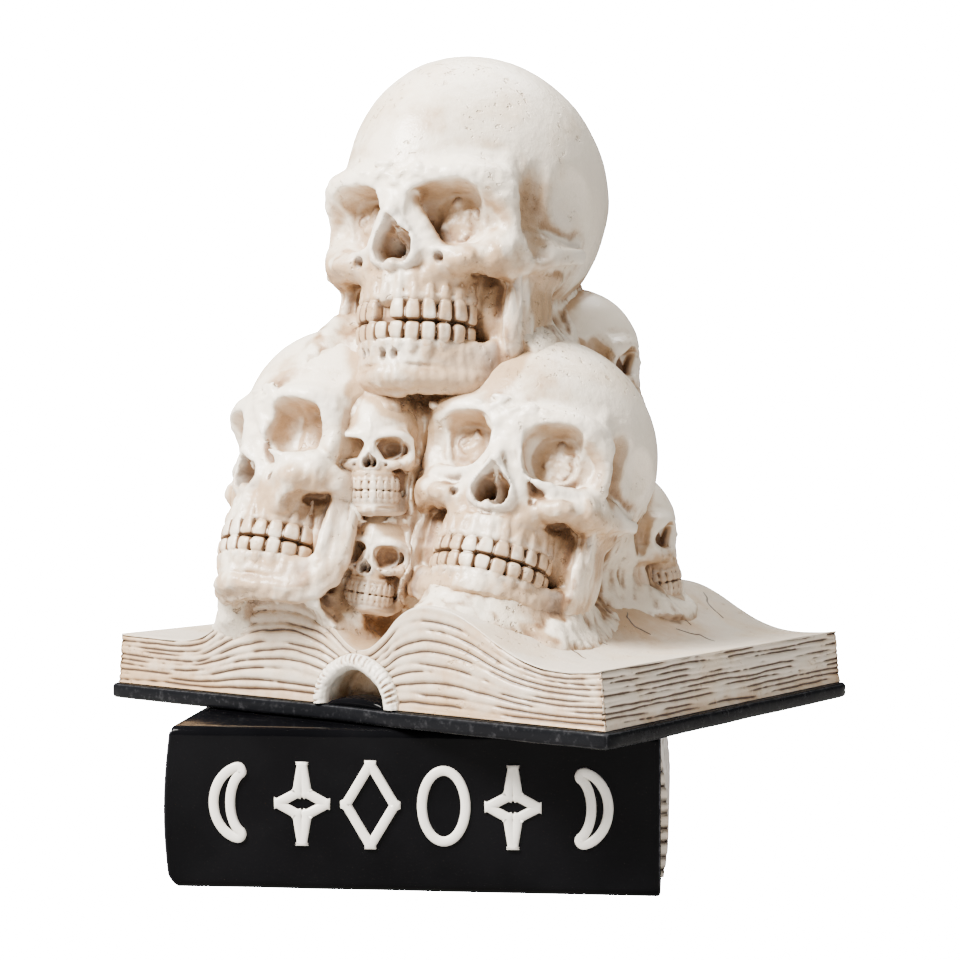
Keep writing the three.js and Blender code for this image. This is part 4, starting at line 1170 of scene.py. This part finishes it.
skull_looks = {
    "skull_top": dict(rings=True, eyes={1: (0.207, -0.182, 0.147, 0.12, -5.0),
                                        -1: (0.2, -0.178, 0.135, 0.12, -4.0)},
                      nose=(-0.175, -0.35, 0.0, 0.0),
                      teeth=(-0.49, -0.57, -0.64, 0.058, 0.225, {("upper", -1)},
                             [(-0.135, -0.68, 0.014), (-0.1, -0.68, 0.01), (-0.03, -0.69, 0.017),
                              (0.02, -0.69, 0.017)]),
                      jaw=(-0.81, -0.66, -0.2, 0.13)),
    "skull_small_upper": dict(eyes={1: (0.225, -0.17, 0.165, 0.125, -5.0),
                                    -1: (0.215, -0.165, 0.155, 0.115, -5.0)},
                              nose=(-0.2, -0.37, 0.0, -0.02),
                              teeth=(-0.51, -0.61, -0.7, 0.08, 0.275, set(), []),
                              jaw=(-0.86, -0.7, -0.16, 0.13)),
    "skull_small_lower": dict(eyes={1: (0.235, -0.18, 0.17, 0.15, -8.0), -1: (0.2, -0.17, 0.15, 0.14, -4.0)},
                              nose=(-0.22, -0.4, -0.03, -0.02),
                              teeth=(-0.55, -0.65, -0.74, 0.082, 0.29, set(), []),
                              jaw=(-0.88, -0.72, -0.16, 0.13)),
    "skull_left": dict(eyes={1: (0.238, -0.125, 0.1, 0.114, 12.0), -1: (0.19, -0.125, 0.13, 0.115, -4.0)},
                       nose=(-0.215, -0.365, 0.0, -0.03),
                       teeth=(-0.52, -0.595, -0.66, 0.066, 0.235, set(), []),
                       jaw=(-0.83, -0.61, -0.29, 0.05), bare=1),
    "skull_right": dict(rings=True, eyes={1: (0.24, -0.125, 0.133, 0.122, -8.0),
                                          -1: (0.19, -0.115, 0.135, 0.118, 4.0)},
                        nose=(-0.2, -0.375, 0.0, 0.0),
                        teeth=(-0.525, -0.595, -0.66, 0.066, 0.235, set(), []),
                        jaw=(-0.765, -0.66, -0.2, 0.13)),
}

bone_material = cast("bone_resin", (0.88, 0.785, 0.645, 1), 0.6)
pile_low, pile_high, far_off = (-96.0, -92.0, 54.0), (84.0, 92.0, 284.0), 60.0
pile = Clay(pile_low, pile_high, 1.31, far_off)
plain = Clay(pile_low, pile_high, pile.step, far_off)


def pressed_copy(clay, place, turn, breadth):
    spin = turned(*turn)
    size = (np.array(clay.depth.shape) - 1) * clay.step
    corners = np.array([[clay.low[k] + size[k] * ((c >> k) & 1) for k in range(3)]
                        for c in range(8)]) * breadth
    corners = corners @ spin.T + np.array(place)

    def shape(x, y, z):
        grid = np.broadcast_arrays(x, y, z)
        spots = np.stack([g.ravel() for g in grid], 1) - np.array(place, np.float32)
        field = clay.at((spots @ spin).astype(np.float32) / breadth) * breadth
        return field.reshape(grid[0].shape).astype(np.float32)

    return shape, list(corners.min(0)), list(corners.max(0))


casts = {}
for name, (place, turn, breadth) in skull_places.items():
    big = breadth > 60
    step = (0.72) if big else (0.36)
    step *= 1.3 if name == "skull_back" else max(1.0, breadth / (80.0 if big else 40.0))
    dome = 0.551 if name == "skull_top" else 0.52
    looks = skull_looks.get(name, dict(eyes=wide_eyes, nose=(-0.18, -0.35, 0.0, -0.03),
                                       teeth=(-0.49, -0.575, -0.655, 0.062, 0.23, set(), []),
                                       jaw=(-0.8, -0.66, -0.16, 0.13)))
    clay, crowns = sculpt(step / breadth, dome, plain=not big, **looks)
    shape, low, high = pressed_copy(clay, place, turn, breadth)
    # Both pressings have the same window, so the field is worked out once.
    held = {}

    def once(x, y, z):
        if "field" not in held:
            held["field"] = shape(x, y, z)
        return held["field"]

    plain.work((once, low, high), 0.0, True, False, 18.0)
    pile.work((once, low, high), 8.0 if big else 3.5, True, False, 10.0 if big else 14.5)
    casts[name] = clay, crowns


# What the pile is cast round. A rough mass of resin fills the gaps between the skulls and runs out over the
# pages in a skirt; it holds most of the brown wash, and its darker colour is painted shade in those gaps.
core_masses = (((-1.8, -3.5, 108.8), (56.4, 40.5, 47.6)), ((-1.8, -2.6, 163.2), (37.2, 36.1, 42.5)),
               ((-25.8, -29.0, 122.4), (22.8, 20.0, 51.0)), ((-9.0, -29.0, 112.0), (15.0, 14.0, 46.0)),
               ((-14.0, -24.0, 160.0), (22.0, 17.0, 14.0)))
for middle, half in core_masses:
    pile.work(ball(middle, half), 6.0, True, False, 12.0)
    plain.work(ball(middle, half), 0.0, True, False, 18.0)
flat_x, flat_y = pile.rulers[0][:, None, None], pile.rulers[1][None, :, None]
flat_z = pile.rulers[2][None, None, :]
book_across = flat_x * across_axis[0] + flat_y * across_axis[1]
page_height = np.where(book_across < gutter, page_top(book_across, -1), page_top(book_across, 1)) + page_floor
past_front = np.abs(flat_x * depth_axis[0] + flat_y * depth_axis[1]) - (page_front - 1.2)
past_fore = np.abs(book_across) - (page_fore - 2.0)
page_field = np.maximum(flat_z - page_height, np.maximum(past_front, past_fore)).astype(np.float32)
skulls_alone = pile.depth.copy()
near = np.maximum(page_field, skulls_alone - 10.0)
sharp = np.minimum(plain.depth, near)
filled = np.minimum(skulls_alone, near)
skirt = 11.0
melt = np.maximum(skirt - np.abs(skulls_alone - near), 0.0)
filled = filled - melt * melt / (4 * skirt)
# Where the forms melt together the resin is built up; elsewhere its skin sinks a millimetre under them.
web = Clay(pile_low, pile_high, pile.step, far_off)
web_floor = 62.0
built = np.clip(sharp - filled, 0.0, 4.0)
web.depth = np.maximum(filled + 1.3 * np.exp(-built / 0.45) - 0.25, web_floor - flat_z).astype(np.float32)
pile.depth = np.minimum(plain.depth, page_field)
grid = np.stack([g.ravel() for g in np.broadcast_arrays(flat_x, flat_y, flat_z)], 1)
close = np.abs(web.depth).ravel() < 4.0
rough = np.zeros(close.size, np.float32)
upright = np.array([1.0, 1.0, 0.3])
rough[close] = 0.55 * grain(grid[close], 4.5, 51) + 0.5 * grain(grid[close] * upright, 2.6, 52)
web.depth += 0.42 * rough.reshape(web.depth.shape) * np.clip(built, 0.1, 1.0)
# The mass is cleared away in front of every face.
for name, (place, turn, breadth) in skull_places.items():
    spin = turned(*turn)
    down = 0.92 if name == "skull_top" else 0.78
    cleared = [((0.0, -0.85, 0.5 * (0.04 - down)), (0.4, 0.42, 0.5 * (0.04 + down)), 3.0),
               ((0.21, -0.6, -0.16), (0.2, 0.37, 0.17), 2.6),
               ((-0.21, -0.6, -0.16), (0.2, 0.37, 0.17), 2.6), ((0.0, -0.6, -0.3), (0.12, 0.18, 0.13), 2.0)]
    if breadth > 75:
        cleared.append(((0.3, -0.46, -0.47), (0.06, 0.14, 0.1), 2.0))
    for middle, radii, power in cleared:
        middle = spin @ np.array(middle) * breadth + np.array(place)
        web.work(lump(middle, np.array(radii) * breadth, power, spin.T), 4.0, False, False, 8.0)
web.work(lump((3.0, -61.0, 168.0), (20.0, 22.0, 13.0), 2.2), 4.0, False, False, 8.0)
spots, quads = skin(web)
normals = outward_of(web, spots)
streaks = grain(spots * np.array([1.0, 1.0, 0.22]), 1.9, 53)
spots = spots + normals * (0.32 * streaks + 0.22 * grain(spots, 3.6, 54)
                           + 0.2 * grain(spots, 1.5, 55))[:, None]
deep, proud = hollows(web, spots, normals, (1.5, 3.0, 6.0))
broad, _ = hollows(pile, spots, normals, (6.0, 12.0))
# The deep mark darkens the web where the skulls close round it, which is painted shade. The hollow mark is
# wash in the fine hollows.
marks = {"hollow": np.clip(deep * 1.5 + 0.12 - 0.35 * streaks, 0, 1),
         "deep": np.clip(broad * 1.6 - 0.02 - 0.2 * streaks, 0, 1), "edge": 0.3 * proud}
piece = mesh_object("cast_web", spots / 1000, quads, marks)
# A darker copy of the bone colour: painted shade in the gaps between the skulls.
piece.data.materials.append(cast("shaded_bone_resin", (0.84, 0.75, 0.61, 1), 0.9))
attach(piece, "root")
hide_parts("pile_core")


# The skulls, cast and washed. Cream resin with brown wash rubbed into every hollow and wiped off the brows,
# with painted shade in the broad hollows and a painted highlight on the raised edges; the rows of teeth of
# the large ones are finer skins of their own.
for name, (place, turn, breadth) in skull_places.items():
    spin = turned(*turn)
    big = breadth > 60
    for part, clay in zip(("cast_", "teeth_"), casts[name]):
        if part == "teeth_" and not big:
            continue
        spots, quads = skin(clay)
        normals = outward_of(clay, spots)
        socket = np.zeros(len(spots))
        for ex, ez, wide, high in clay.eyes:
            round_eye = ((spots[:, 0] - ex) / wide) ** 2 + ((spots[:, 2] - ez) / high) ** 2
            behind = (spots[:, 1] + 0.575 - 0.36 * np.abs(spots[:, 0])) / 0.07
            bowl = np.clip((1.25 - round_eye) / 0.2, 0, 1) * np.clip(behind, 0, 1) * (spots[:, 1] < -0.3)
            socket = np.maximum(socket, bowl)
        reaches = np.array((1.3, 2.8, 5.5) if big else (0.7, 1.5, 3.0)) / breadth
        wide_reaches = np.array((7.0, 14.0) if big else (3.0, 6.0)) / breadth
        fine, proud = hollows(clay, spots, normals, reaches[:2] if part == "teeth_" else reaches)
        own_wide, _ = hollows(clay, spots, normals, wide_reaches)
        # Darker towards the bottom of the face: painted shade under the jaws.
        low_face = np.clip((-0.27 - spots[:, 2]) / 0.1, 0, 1) * np.clip((0.05 - spots[:, 1]) / 0.2, 0, 1)
        strings = grain(spots * np.array([1.0, 1.0, 0.2]), 1.7 / breadth, 75)
        face_zone = np.clip((-0.1 - spots[:, 1]) / 0.2, 0, 1) * np.clip((0.08 - spots[:, 2]) / 0.12, 0, 1)
        # Painted shade under the jaws and behind the pillars at the temples, brown wash in the nose, and
        # stain on the forehead.
        stain = 0.6 * grain(spots, 0.15, 78) + 0.45 * grain(spots * np.array([1.0, 1.0, 0.35]), 0.05, 79)
        stain = np.clip(0.3 + stain, 0, 1)
        nose_x, apex, base = clay.nose
        nostril = ((np.abs(spots[:, 0] - nose_x) < 0.08) & (spots[:, 2] < apex) & (spots[:, 2] > base + 0.01)
                   & (spots[:, 1] > -0.575) & (spots[:, 1] < -0.35))
        # Painted shade behind the pillars, on the temples turned away from the key light.
        temple = np.exp(-((np.abs(spots[:, 0]) - 0.4) / 0.07) ** 2 - ((spots[:, 1] + 0.3) / 0.09) ** 2
                        - ((spots[:, 2] + 0.12) / 0.14) ** 2)
        forehead = np.exp(-((spots[:, 0] - 0.02) / 0.2) ** 2
                          - ((spots[:, 2] - 0.2) / 0.13) ** 2) * (spots[:, 1] < -0.2)
        spots = (spots * breadth) @ spin.T + np.array(place)
        normals = normals @ spin.T
        broad, _ = hollows(pile, spots, normals, (6.0, 12.0))
        amount = 0.06 + 0.25 * np.clip(fine * 1.6 - 0.1, 0, 1) + 0.2 * socket
        ripple = amount * (grain(spots, 2.4, 71) + 0.6 * grain(spots, 1.1, 72))
        ripple = ripple + 0.15 * grain(spots, 9.0, 73) + 0.34 * low_face * strings
        if big:
            ripple = ripple + face_zone * (0.42 * np.abs(grain(spots, 4.2, 76))
                                           + 0.24 * grain(spots, 1.8, 77))
        if part == "teeth_":
            ripple = 0.08 * grain(spots, 1.6, 74) - 0.02
        spots = spots + normals * ripple[:, None] * (1.0 if big else 0.4)
        # Wash in the hollows, sockets and nose, with painted shade on the temples.
        hollow = fine * 1.95 - 0.1 + (0.06 if big else 0.75) * socket + 0.4 * nostril + 0.55 * temple * stain
        shaded = np.maximum(np.maximum(broad * 1.6 - 0.3, 1.7 * own_wide - 0.15), 0.8 * socket)
        # Painted shade on the lower face and temples, and stain on the forehead.
        shade_and_stain = low_face * (0.3 + 0.75 * stain - 0.2 * strings) + 1.1 * temple + 0.6 * forehead * stain
        # The edge mark lightens raised parts: wash wiped off them, and a painted highlight.
        marks = {"hollow": np.clip(hollow, 0, 1), "deep": np.clip(shaded + shade_and_stain, 0, 1),
                 "edge": np.clip(proud * 1.2 - 0.2, 0, 1)}
        piece = mesh_object(part + name, spots / 1000, quads, marks)
        piece.data.materials.append(bone_material)
        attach(piece, "root")
        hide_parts(name)
